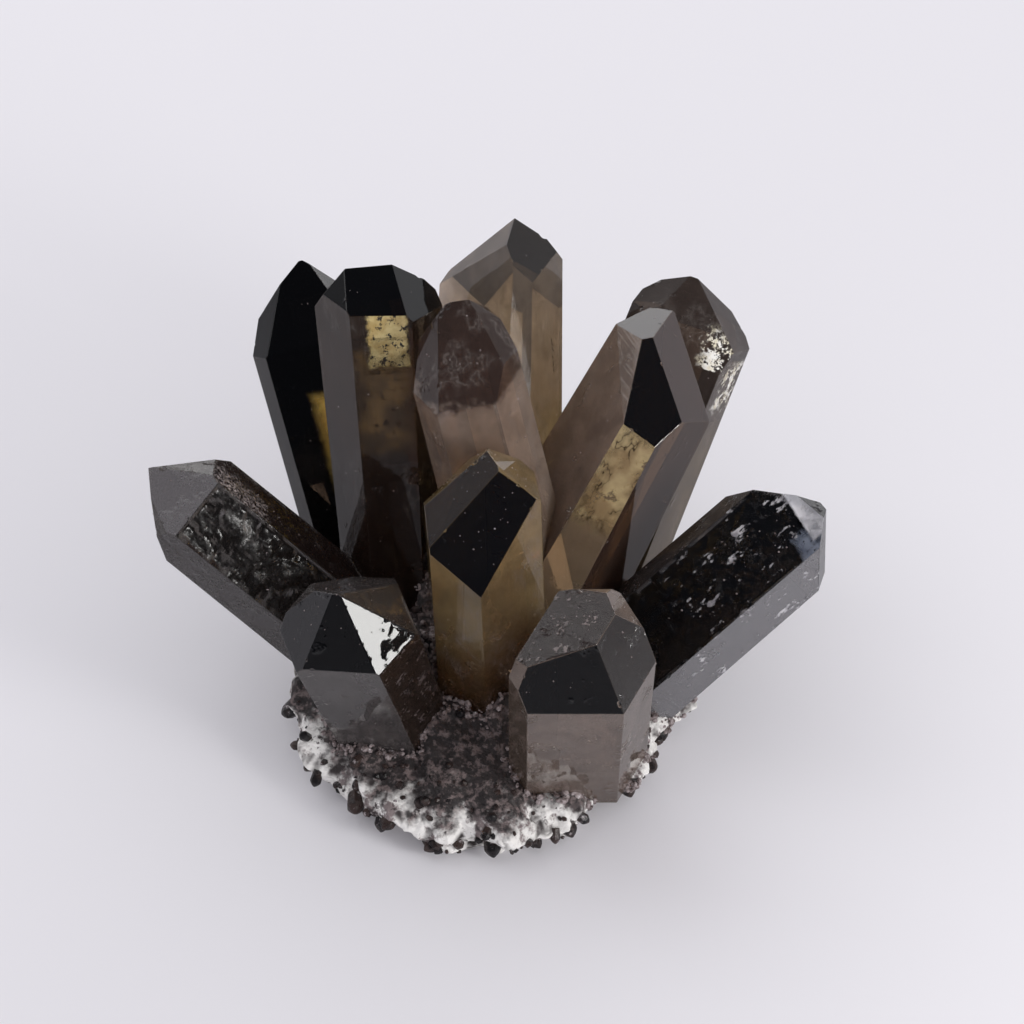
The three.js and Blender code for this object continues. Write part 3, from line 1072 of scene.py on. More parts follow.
# Painted reflection: a pale strip where a face mirrors bright light.
PAINTED_REFLECTION_STRIP = FilmFinish(
    "reflection_strip", (0.86, 0.85, 0.88), (0.6, 0.6, 0.64), cover=1.2, specks=0.0, grain=0.7,
    edge=0.3, ragged=0.6,
)
# Painted reflection: a blue-grey end face, as it mirrors the room.
PAINTED_BLUE_REFLECTION = FilmFinish(
    "blue_reflection", (0.22, 0.25, 0.31), (0.12, 0.14, 0.19), cover=0.85, specks=0.2, grain=0.9,
    edge=0.7, ragged=1.5,
)
GREY_CRUST = FilmFinish(
    "crust", (0.42, 0.36, 0.35), (0.12, 0.1, 0.095), cover=0.5, specks=0.5, grain=1.8,
    edge=1.2, roughness=0.5,
)
BROWN_DUST = FilmFinish(
    "brown_dust", (0.17, 0.13, 0.12), (0.08, 0.06, 0.055), cover=0.3, specks=0.4, grain=1.3,
    clumps=0.9, edge=1.5, ragged=3.0, roughness=0.5,
)
# Painted glints: flakes inside the quartz, painted as bright as they shine in the light.
FLAKE_GLINTS = FilmFinish(
    "flake_glints", (1.0, 0.98, 0.93), (0.85, 0.78, 0.6), cover=0.58, specks=0.2, grain=1.4,
    clumps=0.9, edge=1.4, roughness=0.2,
)

# The eleven crystals
# In the facets below, black, dim and dark tints are painted shade, partly the caps' own smoke, and grey and
# pale tints are painted reflection; brown tints are partly a face's own dust.
CRYSTALS = [
    Crystal(
        name="crystal_centre_front", tip=(0.0, -0.5, 64.5), lean=2, bearing=218, length=52, turn=-24,
        cap_turn=21,
        sides=(9.8, 7.8, 8, 9.2, 8, 9.1), cuts=(0.8, 2.7, 2.6, 0, 3.4, 5.7), steep=(65, 33, 49, 56, 53, 44),
        finish=SmokyFinish(
            "golden_smoky_quartz", takes=(20, 34, 66), clear=0.8, etched=0.3, body=(0.86, 0.62, 0.3),
            bands=(GrowthBand(28.0, (0.36, 0.2, 0.08), 12.0), GrowthBand(38.0, (0.1, 0.05, 0.025), 10.0)),
            facets=(FacetTint(Face.CAP, 0, BLACK_FACET), FacetTint(Face.CAP, 5, DIM_FACET)),
        ),
        dusty=60,
    ),
    Crystal(
        name="crystal_front_right", tip=(14, -25.5, 49), lean=19, bearing=270, length=44, turn=0,
        sides=(8.7, 10.1, 9.8, 8.7, 6.8, 10.8), cuts=(-3.3, -5, -9, -9, -9, -9), blunt=(-0.21, -0.34, 0),
        finish=SmokyFinish(
            "pale_smoky_quartz", takes=(44, 54, 66), clear=0.84, etched=0.4, body=(0.84, 0.66, 0.56),
            facets=(
                FacetTint(Face.CAP, 0, BLACK_FACET), FacetTint(Face.CAP, 1, DIM_FACET),
                FacetTint(Face.BLUNT, 0, (0.15, 0.105, 0.095)), FacetTint(Face.SIDE, 5, (0.45, 0.34, 0.26)),
            ),
        ),
        films=(FilmPatch(Face.BLUNT, 0, (0.0, 1.0, 0.0), (12.0, 12.0, 4.0), BROWN_DUST),),
        etched=(EtchedFace(Face.BLUNT, 0, 0.06, 1.0),),
        dusty=130,
    ),
    Crystal(
        name="crystal_front_left", tip=(-22.5, -14, 49), lean=17, bearing=229, length=45, turn=-12,
        cap_turn=1, taper=1.6,
        sides=(8.9, 10, 9.3, 12, 9, 10.6), cuts=(1.5, 0.8, 2.1, 3.7, 0.5, 2.1),
        steep=(52, 52, 53, 53, 51, 48),
        finish=SmokyFinish(
            "grey_smoky_quartz", takes=(95, 112, 130), clear=0.87, etched=0.4, body=(0.52, 0.47, 0.46),
            facets=(
                FacetTint(Face.CAP, 0, BLACK_FACET), FacetTint(Face.CAP, 1, BLACK_FACET),
                FacetTint(Face.CAP, 5, (0.07, 0.065, 0.075)), FacetTint(Face.SIDE, 1, (0.2, 0.13, 0.095)),
                FacetTint(Face.CAP, 2, (0.24, 0.2, 0.18)),
            ),
        ),
        films=(FilmPatch(Face.SIDE, 1, (7.4, -6.0, -25.0), (4.0, 5.0, 14.0), BROWN_DUST),),
        etched=(
            EtchedFace(Face.CAP, 2, 0.2, 1.1), EtchedFace(Face.SIDE, 1, 0.07, 0.8),
            EtchedFace(Face.CAP, 1, 0.07, 0.5),
        ),
        dusty=110,
    ),
    Crystal(
        name="crystal_back_left_inner", tip=(-17, 34.5, 76), lean=20, bearing=97, length=66, turn=5,
        cap_turn=4, taper=1.6,
        sides=(7.9, 8.7, 9.7, 8.6, 9.4, 7.8), cuts=(4.9, 2, 0.6, 7.6, 2.1, -1.5),
        steep=(42, 54, 51, 53, 50, 58),
        finish=SmokyFinish(
            "dark_smoky_quartz", takes=(120, 160, 205), clear=0.88, etched=0.25, body=(0.19, 0.115, 0.075),
            bands=(GrowthBand(30.0, (0.1, 0.055, 0.04), 14.0),),
            facets=(
                FacetTint(Face.CAP, 0, BLACK_FACET), FacetTint(Face.CAP, 1, BLACK_FACET),
                FacetTint(Face.CAP, 5, BLACK_FACET),
            ),
        ),
        # The gold window and its haze are painted glow of light shining through the quartz.
        films=(
            FilmPatch(Face.SIDE, 0, (2.0, -7.4, -15.6), (2.9, 4.0, 4.6), LIT_GOLD_WINDOW),
            FilmPatch(Face.SIDE, 0, (1.0, -7.4, -26.0), (3.4, 6.0, 7.5), LIT_GOLD_HAZE),
        ),
        dusty=50,
    ),
    Crystal(
        name="crystal_upper_centre", tip=(-5.3, 19.7, 77), lean=12, bearing=156, length=63, turn=2,
        cap_turn=1, taper=-0.6,
        sides=(8.7, 7.8, 6.1, 8.7, 6, 8.6), cuts=(5.9, 2.2, 0.7, 2.3, 2.3, 2.1),
        steep=(50, 52, 52, 53, 51, 59),
        finish=SmokyFinish(
            "pale_smoky_quartz", takes=(38, 50, 64), clear=0.8, etched=0.3, body=(0.17, 0.11, 0.09),
            bands=(
                GrowthBand(9.5, (0.86, 0.67, 0.55), 1.2, 5.0), GrowthBand(38.0, (0.45, 0.32, 0.2), 12.0),
            ),
        ),
        chips=(((0.3, -0.5, 1.0), 0.35), ((-0.6, -0.2, 1.0), 0.3), ((0.9, -0.2, 0.9), 0.25)),
        bites=20,
        smoke=SmokeZone(6.0, (60, 80, 92)),
        dusty=60,
    ),
    Crystal(
        name="crystal_back_right_inner", tip=(33, 31, 67.5), lean=29, bearing=29, length=60, turn=-17,
        cap_turn=9, taper=-2.3,
        sides=(11.5, 9.8, 9.2, 8.6, 7.3, 6), cuts=(8.2, 11.4, -0.7, 0, 1.7, -4.7),
        steep=(47, 35, 67, 51, 52, 72), blunt=(-0.05, -0.48, 9),
        finish=SmokyFinish(
            "golden_smoky_quartz", takes=(22, 34, 58), clear=0.8, etched=0.2, body=(0.85, 0.67, 0.56),
            bands=(GrowthBand(44.0, (0.3, 0.2, 0.12), 14.0),),
            # The golden tint on the front face, like the amber window on it, is painted glow of light
            # shining through the quartz; the other facet tints are painted shade and painted reflection.
            facets=(
                FacetTint(Face.CAP, 0, BLACK_FACET), FacetTint(Face.SIDE, 0, (0.62, 0.46, 0.27), 0.7),
                FacetTint(Face.SIDE, 1, (0.16, 0.1, 0.075)), FacetTint(Face.BLUNT, 0, (0.2, 0.175, 0.17)),
                FacetTint(Face.CAP, 1, (0.26, 0.21, 0.2)),
            ),
        ),
        films=(FilmPatch(Face.SIDE, 0, (-1.2, -12.4, -30.0), (3.4, 4.0, 8.0), LIT_AMBER_WINDOW),),
        dusty=30,
    ),
    Crystal(
        name="crystal_left", tip=(-54, 14, 47), lean=46, bearing=168, length=48, turn=38, taper=-0.4,
        sides=(6.8, 7.7, 8, 8.5, 7.6, 8), cuts=(2.3, 2.2, 2.9, 2.6, 3.6, 1.3),
        steep=(52, 45, 51, 52, 55, 47),
        finish=SmokyFinish(
            "black_smoky_quartz", takes=(210, 235, 255), clear=0.86, etched=0.85, etch_scale=0.7,
            body=(0.5, 0.45, 0.43), roughness=0.14,
            facets=(
                FacetTint(Face.SIDE, 0, (0.05, 0.04, 0.036)), FacetTint(Face.SIDE, 1, (0.12, 0.08, 0.072)),
                FacetTint(Face.SIDE, 5, (0.36, 0.32, 0.32)), FacetTint(Face.CAP, 0, (0.85, 0.8, 0.83)),
            ),
        ),
        bites=16,
        films=(FilmPatch(Face.SIDE, 1, (7.2, -2.0, -13.0), (3.0, 4.0, 8.0), GREY_CRUST),),
        etched=(EtchedFace(Face.SIDE, 0, 0.8, 0.42), EtchedFace(Face.SIDE, 1, 0.25, 1.0)),
        dusty=150,
    ),
    Crystal(
        name="crystal_right", tip=(53, 6, 48.5), lean=38, bearing=2, length=48, turn=10, taper=-0.8,
        sides=(9.7, 9.1, 8.5, 8.5, 8.5, 6.5), cuts=(-8.5, 0, 6.5, 5.5, -22.6, -9),
        steep=(52, 52, 52, 52, 74, 52), blunt=(-0.04, -0.44, 0),
        finish=SmokyFinish(
            "black_smoky_quartz", takes=(300, 310, 330), clear=0.8, etched=0.5, body=(0.26, 0.26, 0.28),
            facets=(FacetTint(Face.SIDE, 5, BLACK_FACET), FacetTint(Face.SIDE, 0, (0.92, 0.9, 0.95))),
        ),
        # The frost is the faces' own; the pale strip near the tip and the blue-grey end are painted
        # reflections.
        films=(
            FilmPatch(Face.SIDE, 5, (-5.0, -4.3, -16.0), (4.0, 5.0, 14.0), WHITE_FROST),
            FilmPatch(Face.SIDE, 0, (2.6, -9.6, -20.0), (6.0, 3.0, 17.0), WHITE_FROST),
            FilmPatch(Face.SIDE, 5, (-5.0, -4.2, -2.0), (4.6, 4.6, 2.2), PAINTED_REFLECTION_STRIP),
            FilmPatch(Face.SIDE, 5, (-0.4, -9.6, -4.6), (1.9, 3.0, 2.6), PAINTED_BLUE_REFLECTION),
        ),
        etched=(EtchedFace(Face.SIDE, 5, 0.25, 0.8),),
        dusty=130,
    ),
    Crystal(
        name="crystal_back_centre", tip=(3.7, 51, 70), lean=27, bearing=86, length=62, turn=0, cap_turn=-19,
        taper=-1.6, sides=(8.7, 7.7, 7.2, 9.7, 13.5, 3.3), cuts=(-1.4, 0.8, 0.4, 7, 0.7, 5.3),
        steep=(48, 52, 51, 53, 49, 58),
        finish=SmokyFinish(
            "pale_smoky_quartz", takes=(40, 50, 76), clear=0.84, etched=0.2, body=(0.3, 0.24, 0.22),
            bands=(GrowthBand(2.5, (0.8, 0.64, 0.5), 1.6, 4.0), GrowthBand(30.0, (0.8, 0.64, 0.36), 12.0)),
            facets=(FacetTint(Face.CAP, 1, DIM_FACET),),
        ),
        smoke=SmokeZone(3.4, (50, 60, 70)),
        dusty=24,
    ),
    Crystal(
        name="crystal_back_right_outer", tip=(36.8, 49.8, 57.3), lean=32, bearing=49, length=55, turn=-7,
        taper=-0.6, sides=(8.7, 9.5, 9, 8.7, 8.1, 8.7), cuts=(3.4, 5.1, 0.5, 5.4, -0.6, 1.4),
        steep=(55, 38, 50, 52, 51, 49),
        finish=SmokyFinish(
            "grey_smoky_quartz", takes=(90, 108, 140), clear=0.86, etched=0.3, body=(0.28, 0.21, 0.18),
            bands=(GrowthBand(20.0, (0.42, 0.32, 0.2), 8.0),),
        ),
        # These flakes are painted glints.
        films=(
            FilmPatch(Face.CAP, 0, (4.6, -8.8, -15.6), (2.8, 5.0, 4.8), FLAKE_GLINTS),
            FilmPatch(Face.SIDE, 1, (8.4, -5.0, -19.0), (3.0, 2.4, 3.6), FLAKE_GLINTS),
        ),
        dusty=60,
    ),
    Crystal(
        name="crystal_back_left_outer", tip=(-30.8, 50, 59.5), lean=29, bearing=119, length=55, turn=11,
        taper=0.4, sides=(7.9, 8.7, 8.7, 8.7, 7, 11.1), cuts=(4.6, 2.2, 1.6, 2.1, 3.2, 1.7),
        steep=(53, 52, 52, 52, 47, 51),
        finish=SmokyFinish(
            "dark_smoky_quartz", takes=(260, 285, 320), clear=0.92, etched=0.2, body=(0.3, 0.28, 0.28),
            facets=(
                FacetTint(Face.CAP, 0, BLACK_FACET), FacetTint(Face.CAP, 5, BLACK_FACET),
                FacetTint(Face.SIDE, 0, BLACK_FACET),
            ),
        ),
        # The golden streak is painted glow of light shining through the quartz.
        films=(FilmPatch(Face.SIDE, 0, (0.5, -8.0, -32.0), (0.9, 3.0, 8.0), LIT_GOLD_STREAK),),
        dusty=24,
    ),
]


@dataclass
class CrystalGroup:
    """The eleven crystals with the smoke inside them and the films on them."""

    crystals: list[Crystal]
    smoke_inset: float = 0.4
    smoke_room: float = 4.0
    film_lift: float = 0.02
    film_thickness: float = 0.012

    def build(self, effects: Effects) -> None:
        """Builds and dresses each crystal, its smoke and its films.

        Args:
            effects: the shared shader groups.
        """
        earlier: list[Crystal] = []
        for crystal in self.crystals:
            piece = crystal.build(earlier)
            material = crystal.finish.material(crystal.name + "_smoky_quartz", crystal, effects)
            finish_piece(piece, material, crystal.finish.slot, crystal.name)
            if crystal.smoke:
                self.build_smoke(crystal, crystal.smoke)
            for number, patch in enumerate(crystal.films):
                self.build_film(crystal, patch, f"{crystal.name}_{patch.finish.name}_{number}", effects)
            earlier.append(crystal)

    def build_smoke(self, crystal: Crystal, zone: SmokeZone) -> None:
        """Builds the darker zone that follows a crystal's cap faces.

        Args:
            crystal: that it belongs to.
            zone: its depth and its tint.
        """
        piece = to_object(crystal.solid(-self.smoke_inset), crystal.name + "_smoke")
        cut_away(piece, crystal.solid(self.smoke_room, -zone.depth))
        piece.data.transform(Matrix.Scale(MM, 4))
        finish_piece(piece, zone.material(piece.name), crystal.finish.slot)

    def build_film(self, crystal: Crystal, patch: FilmPatch, name: str, effects: Effects) -> None:
        """Builds a film on one face of a crystal, clipped to its patch.

        Args:
            crystal: that it belongs to.
            patch: where it lies and its finish.
            name: the piece's name.
            effects: the shared shader groups.
        """
        shape = crystal.solid(self.film_lift)
        facing = crystal.facing(patch.face, patch.index)
        keep = max(shape.faces, key=lambda face: face.normal.dot(facing))
        bmesh.ops.delete(shape, geom=[face for face in shape.faces if face is not keep], context="FACES")
        turn = crystal.frame()
        room = patch.finish.edge + patch.finish.ragged / 2
        for axis in range(3):
            for way in (-1, 1):
                local = Vector(patch.centre)
                local[axis] += way * (patch.half[axis] + room)
                cut_off(shape, Vector(crystal.tip) + turn @ local, turn.col[axis] * way, close=False)
        bmesh.ops.solidify(shape, geom=shape.faces[:], thickness=-self.film_thickness)
        face_out(shape)
        piece = to_object(shape, name, MM)
        material = patch.finish.material(name, crystal, patch.centre, patch.half, effects)
        finish_piece(piece, material, crystal.finish.slot)


# The rock
@dataclass
class Rock:
    """The lump of rock that the crystals grew on, in millimetres.

    It is a dome round centre that is highest at its crown. bays: how often its rim swings in and
    out, by what share, and the shift. undercut: how fast it draws in below the rim. shoulder: how
    square it is above the rim. lump, knob: how far its large and its small lumps stand out.
    lowest: where the skin ends, as in point. crag, grit: its coarse and its fine relief.
    """

    centre: Span = (0.0, 3.5)
    half_width: float = 31.0
    half_depth: float = 30.5
    heart: Triple = (0.0, 6.0, 2.0)
    crown: Span = (0.0, 12.0)
    crown_spread: float = 24.0
    rim_height: float = 7.0
    crown_rise: float = 17.0
    below_rim: float = 16.0
    undercut: float = 0.35
    rim_share: float = 0.6
    shoulder: float = 8.0
    bays: tuple[Triple, ...] = ((3, 0.035, 0.6), (5, 0.03, 2.4))
    lump: float = 1.4
    knob: float = 0.7
    fineness: int = 7
    lowest: float = 1.98
    crag: float = 0.55
    grit: float = 0.2

    def lumps(self, x: float, y: float, z: float) -> float:
        """Returns how far its lumps stand out at a point."""
        broad = (
            math.sin(0.62 * x + 0.9 * math.sin(0.31 * y))
            + math.sin(0.57 * y + 1.3 + 0.8 * math.sin(0.37 * z))
            + math.sin(0.71 * z + 0.4 * x + 2.1)
        )
        small = math.sin(1.31 * x + 0.7 * y + 0.4) * math.sin(1.17 * y - 0.5 * z + 1.9) + math.sin(
            1.53 * z + 0.6 * x - 0.8 * y
        )
        return self.lump * broad / 2 + self.knob * small / 1.5

    def reach(self, angle: float) -> float:
        """Returns how far it reaches in plan at an angle round its centre."""
        bays = 1 + sum(share * math.sin(count * angle + shift) for count, share, shift in self.bays)
        return bays * math.hypot(self.half_width * math.cos(angle), self.half_depth * math.sin(angle))

    def away(self, place: Vector) -> Vector:
        """Returns the way from its heart to a place."""
        return (place - Vector(self.heart)).normalized()

    def point(self, angle: float, out: float) -> Vector:
        """Works out a point of its skin.

        Args:
            angle: round its centre.
            out: 0 at the crown, 1 at the rim and 2 below the middle.

        Returns:
            The point.
        """
        rim = self.reach(angle)
        reach = rim * out if out < 1 else rim * (2 - out) ** self.undercut
        x = self.centre[0] + reach * math.cos(angle)
        y = self.centre[1] + reach * math.sin(angle)
        from_crown = math.hypot(x - self.crown[0], y - self.crown[1]) / self.crown_spread
        over = self.rim_height + self.crown_rise * math.exp(-(from_crown**2))
        dome = self.rim_share + (1 - self.rim_share) * math.sqrt(max(0.0, 1 - out**self.shoulder))
        z = over * dome if out < 1 else over * self.rim_share - (out - 1) * self.below_rim
        place = Vector((x, y, z))
        return place + self.away(place) * self.lumps(x, y, z)

    def build(self, crystals: list[Crystal], effects: Effects) -> None:
        """Builds the rock, cut flat below, with a socket for each crystal.

        Args:
            crystals: the crystals that stand in it.
            effects: the shared shader groups.
        """
        shape = bmesh.new()
        bmesh.ops.create_icosphere(shape, subdivisions=self.fineness, radius=1.0)
        relief = shape.verts.layers.float.new("relief")
        for vert in shape.verts:
            fall = math.acos(max(-1.0, min(1.0, vert.co.z))) / (math.pi / 2)
            place = self.point(math.atan2(vert.co.y, vert.co.x), min(fall, self.lowest))
            crag = self.crag * noise.fractal(place * 0.42, 0.9, 2.1, 5)
            grit = self.grit * noise.fractal(place * 1.7 + Vector((7, 3, 1)), 0.8, 2.0, 3)
            vert.co = place + self.away(place) * (crag + grit)
            vert[relief] = crag + grit
        cut_off(shape, Vector(ORIGIN), -Vector(UP))
        bmesh.ops.triangulate(shape, faces=[face for face in shape.faces if len(face.verts) > 4])
        face_out(shape)
        piece = to_object(shape, "rock")
        for crystal in crystals:
            cut_away(piece, crystal.solid(SOCKET_GAP))
        piece.data.transform(Matrix.Scale(MM, 4))
        finish_piece(piece, self.material(effects), "rock", "matrix")

    @staticmethod
    def material(effects: Effects) -> bpy.types.Material:
        """Makes the rock's material: cream and mauve-grey, darker in its hollows.

        Args:
            effects: the shared shader groups.

        Returns:
            The material.
        """
        rock, place = rough_mineral(
            "cream_and_mauve_rock", effects, 1.0, rough=(0.45, 0.4), relief=(0.8, 0.3)
        )
        drift = rock.cloud(place, scale=0.2, rough=0.62)
        level = rock.math("MULTIPLY_ADD", drift, 12.0, rock.parts(place)[2])
        rim = rock.ramp(level, 15.0, 12.0)
        speckle = rock.cloud(place, scale=0.75, rough=0.7, shift=(2.0, 7.0, 9.0))
        mauve = rock.blend(rock.ramp(speckle, 0.46, 0.62), (0.04, 0.034, 0.034), (0.2, 0.155, 0.15))
        pale = rock.cloud(place, scale=0.26, detail=5.0, rough=0.66, shift=(40.0, 12.0, 5.0))
        cream = rock.blend(rock.ramp(pale, 0.38, 0.48), (0.24, 0.195, 0.195), (0.95, 0.93, 0.9))
        colour = rock.blend(rim, mauve, cream)
        dirt = rock.cloud(place, scale=0.34, rough=0.7, shift=(9.0, 80.0, 31.0))
        colour = rock.blend(rock.ramp(dirt, 0.58, 0.66), colour, (0.06, 0.047, 0.047))
        relief = rock.node("ShaderNodeAttribute", attribute_name="relief").outputs["Fac"]
        rock.look(Base_Color=rock.blend(rock.ramp(relief, 0.0, -0.4), colour, (0.05, 0.04, 0.04)))
        return rock.material


@dataclass(frozen=True)
class DruseRow:
    """A band of druse crystals round the rock.

    width: narrowest and widest. band: where it stands, 0 at the crown and 1 at the rim. channel:
    the first of the eight that its scatter takes.
    """

    count: int
    width: Span
    band: Span
    channel: int


@dataclass
class Druse:
    """The crust of small stubby crystals on the rock.

    clearance: from the big crystals. height: lowest and tallest, cap: of the blunt point, sunk: of
    the foot in the rock, foot, top: half across it at both ends, rounding: of its edges, rises: how
    high and how wide each step of its point is, all as shares of its width. tilt: how unevenly they
    stand. step: over which the rock's slope is read.
    """

    rock: Rock
    crystals: list[Crystal]
    rows: tuple[DruseRow, ...] = (
        DruseRow(140, (1.7, 3.1), (0.86, 1.42), 0),
        DruseRow(62, (1.3, 2.4), (0.25, 0.9), 9),
    )
    clearance: float = 0.5
    height: Span = (0.6, 1.05)
    cap: float = 0.45
    sunk: float = 0.5
    foot: float = 0.46
    top: float = 0.5
    rounding: float = 0.11
    rises: tuple[Span, ...] = ((0.26, 0.62), (0.19, 0.22))
    tilt: float = 0.7
    step: float = 0.04

    def spots(self) -> list[tuple[Vector, Vector, float, float]]:
        """Returns each druse crystal's foot, direction, width and height."""
        made = []
        for row in self.rows:
            for i in range(row.count):
                chance = [scatter(i, row.channel + c) for c in range(8)]
                angle = i * GOLDEN_ANGLE + 0.5 * chance[1]
                out = within(row.band, chance[2])
                foot = self.rock.point(angle, out)
                beside = self.rock.point(angle + self.step, out) - foot
                lower = self.rock.point(angle, out + self.step) - foot
                along = lower.cross(beside).normalized()
                along += (Vector(chance[3:6]) - Vector((0.5, 0.5, 0.5))) * self.tilt
                along.normalize()
                width = within(row.width, chance[6] ** 1.5)
                tall = width * within(self.height, chance[7])
                foot -= along * self.sunk * width
                made.append((foot, along, width, tall + self.sunk * width))
        return [spot for spot in made if self.is_clear(*spot)]

    def is_clear(self, foot: Vector, along: Vector, width: float, height: float) -> bool:
        """Finds whether a druse crystal stays clear of the big crystals and of the flat underside.

        Args:
            foot: the middle of its foot.
            along: its direction.
            width: across it.
            height: from foot to point.

        Returns:
            Whether it does.
        """
        shaft = height - self.cap * width
        middle = foot + along * shaft / 2
        point = foot + along * shaft
        reach = width / 2 + self.clearance
        if min(foot.z, point.z) < reach:
            return False
        return all(crystal.clearance(middle) > reach for crystal in self.crystals)

    def add_stub(
        self, shape: bmesh.types.BMesh, foot: Vector, along: Vector, width: float, height: float, seed: int
    ) -> None:
        """Adds one six-sided stub with a blunt point and rounded edges.

        Args:
            shape: what it is added to.
            foot: the middle of its foot.
            along: its direction.
            width: across it.
            height: from foot to point.
            seed: for its turn.
        """
        stub = bmesh.new()
        shaft = height - self.cap * width
        bmesh.ops.create_cone(
            stub, cap_ends=True, segments=FACES, radius1=self.foot * width, radius2=self.top * width,
            depth=shaft, matrix=Matrix.Translation((0, 0, shaft / 2)),
        )
        top = max(stub.faces, key=lambda face: face.calc_center_median().z)
        for rise, share in self.rises:
            bmesh.ops.inset_region(stub, faces=[top], thickness=0.001, use_even_offset=False)
            middle = Matrix.Translation(-top.calc_center_median())
            bmesh.ops.scale(stub, vec=(share, share, 1), space=middle, verts=top.verts[:])
            bmesh.ops.translate(stub, vec=(0, 0, rise * width), verts=top.verts[:])
        round_edges(stub, stub.edges[:], self.rounding * width, 1)
        turn = Matrix.Rotation(FULL_TURN * scatter(seed, 31), 4, "Z")
        lay = Vector(UP).rotation_difference(along).to_matrix().to_4x4()
        bmesh.ops.transform(stub, matrix=Matrix.Translation(foot) @ lay @ turn, verts=stub.verts[:])
        mesh = bpy.data.meshes.new("stub")
        stub.to_mesh(mesh)
        stub.free()
        shape.from_mesh(mesh)
        bpy.data.meshes.remove(mesh)

    def build(self, effects: Effects) -> None:
        """Builds the druse as one piece.

        Args:
            effects: the shared shader groups.
        """
        shape = bmesh.new()
        for seed, spot in enumerate(self.spots()):
            self.add_stub(shape, *spot, seed)
        face_out(shape)
        finish_piece(to_object(shape, "druse", MM), self.material("brown_black_druse", effects), "rock")

    @staticmethod
    def material(name: str, effects: Effects) -> bpy.types.Material:
        """Makes the material of the druse and the nubs: glossy brown-black, dusted with mauve.

        Args:
            name: the material's name.
            effects: the shared shader groups.

        Returns:
            The material.
        """
        druse, place = rough_mineral(name, effects, 1.6, rough=(0.06, 0.5), relief=(0.5, 0.12))
        drift = druse.ramp(druse.cloud(place, scale=0.3, detail=3.0), 0.4, 0.6)
        dust = druse.cloud(place, scale=0.7, detail=6.0, rough=0.7, shift=(3.0, 17.0, 8.0))
        colour = druse.blend(drift, (0.012, 0.01, 0.011), (0.05, 0.032, 0.028))
        druse.look(Base_Color=druse.blend(druse.ramp(dust, 0.58, 0.68), colour, (0.34, 0.3, 0.31)))
        return druse.material


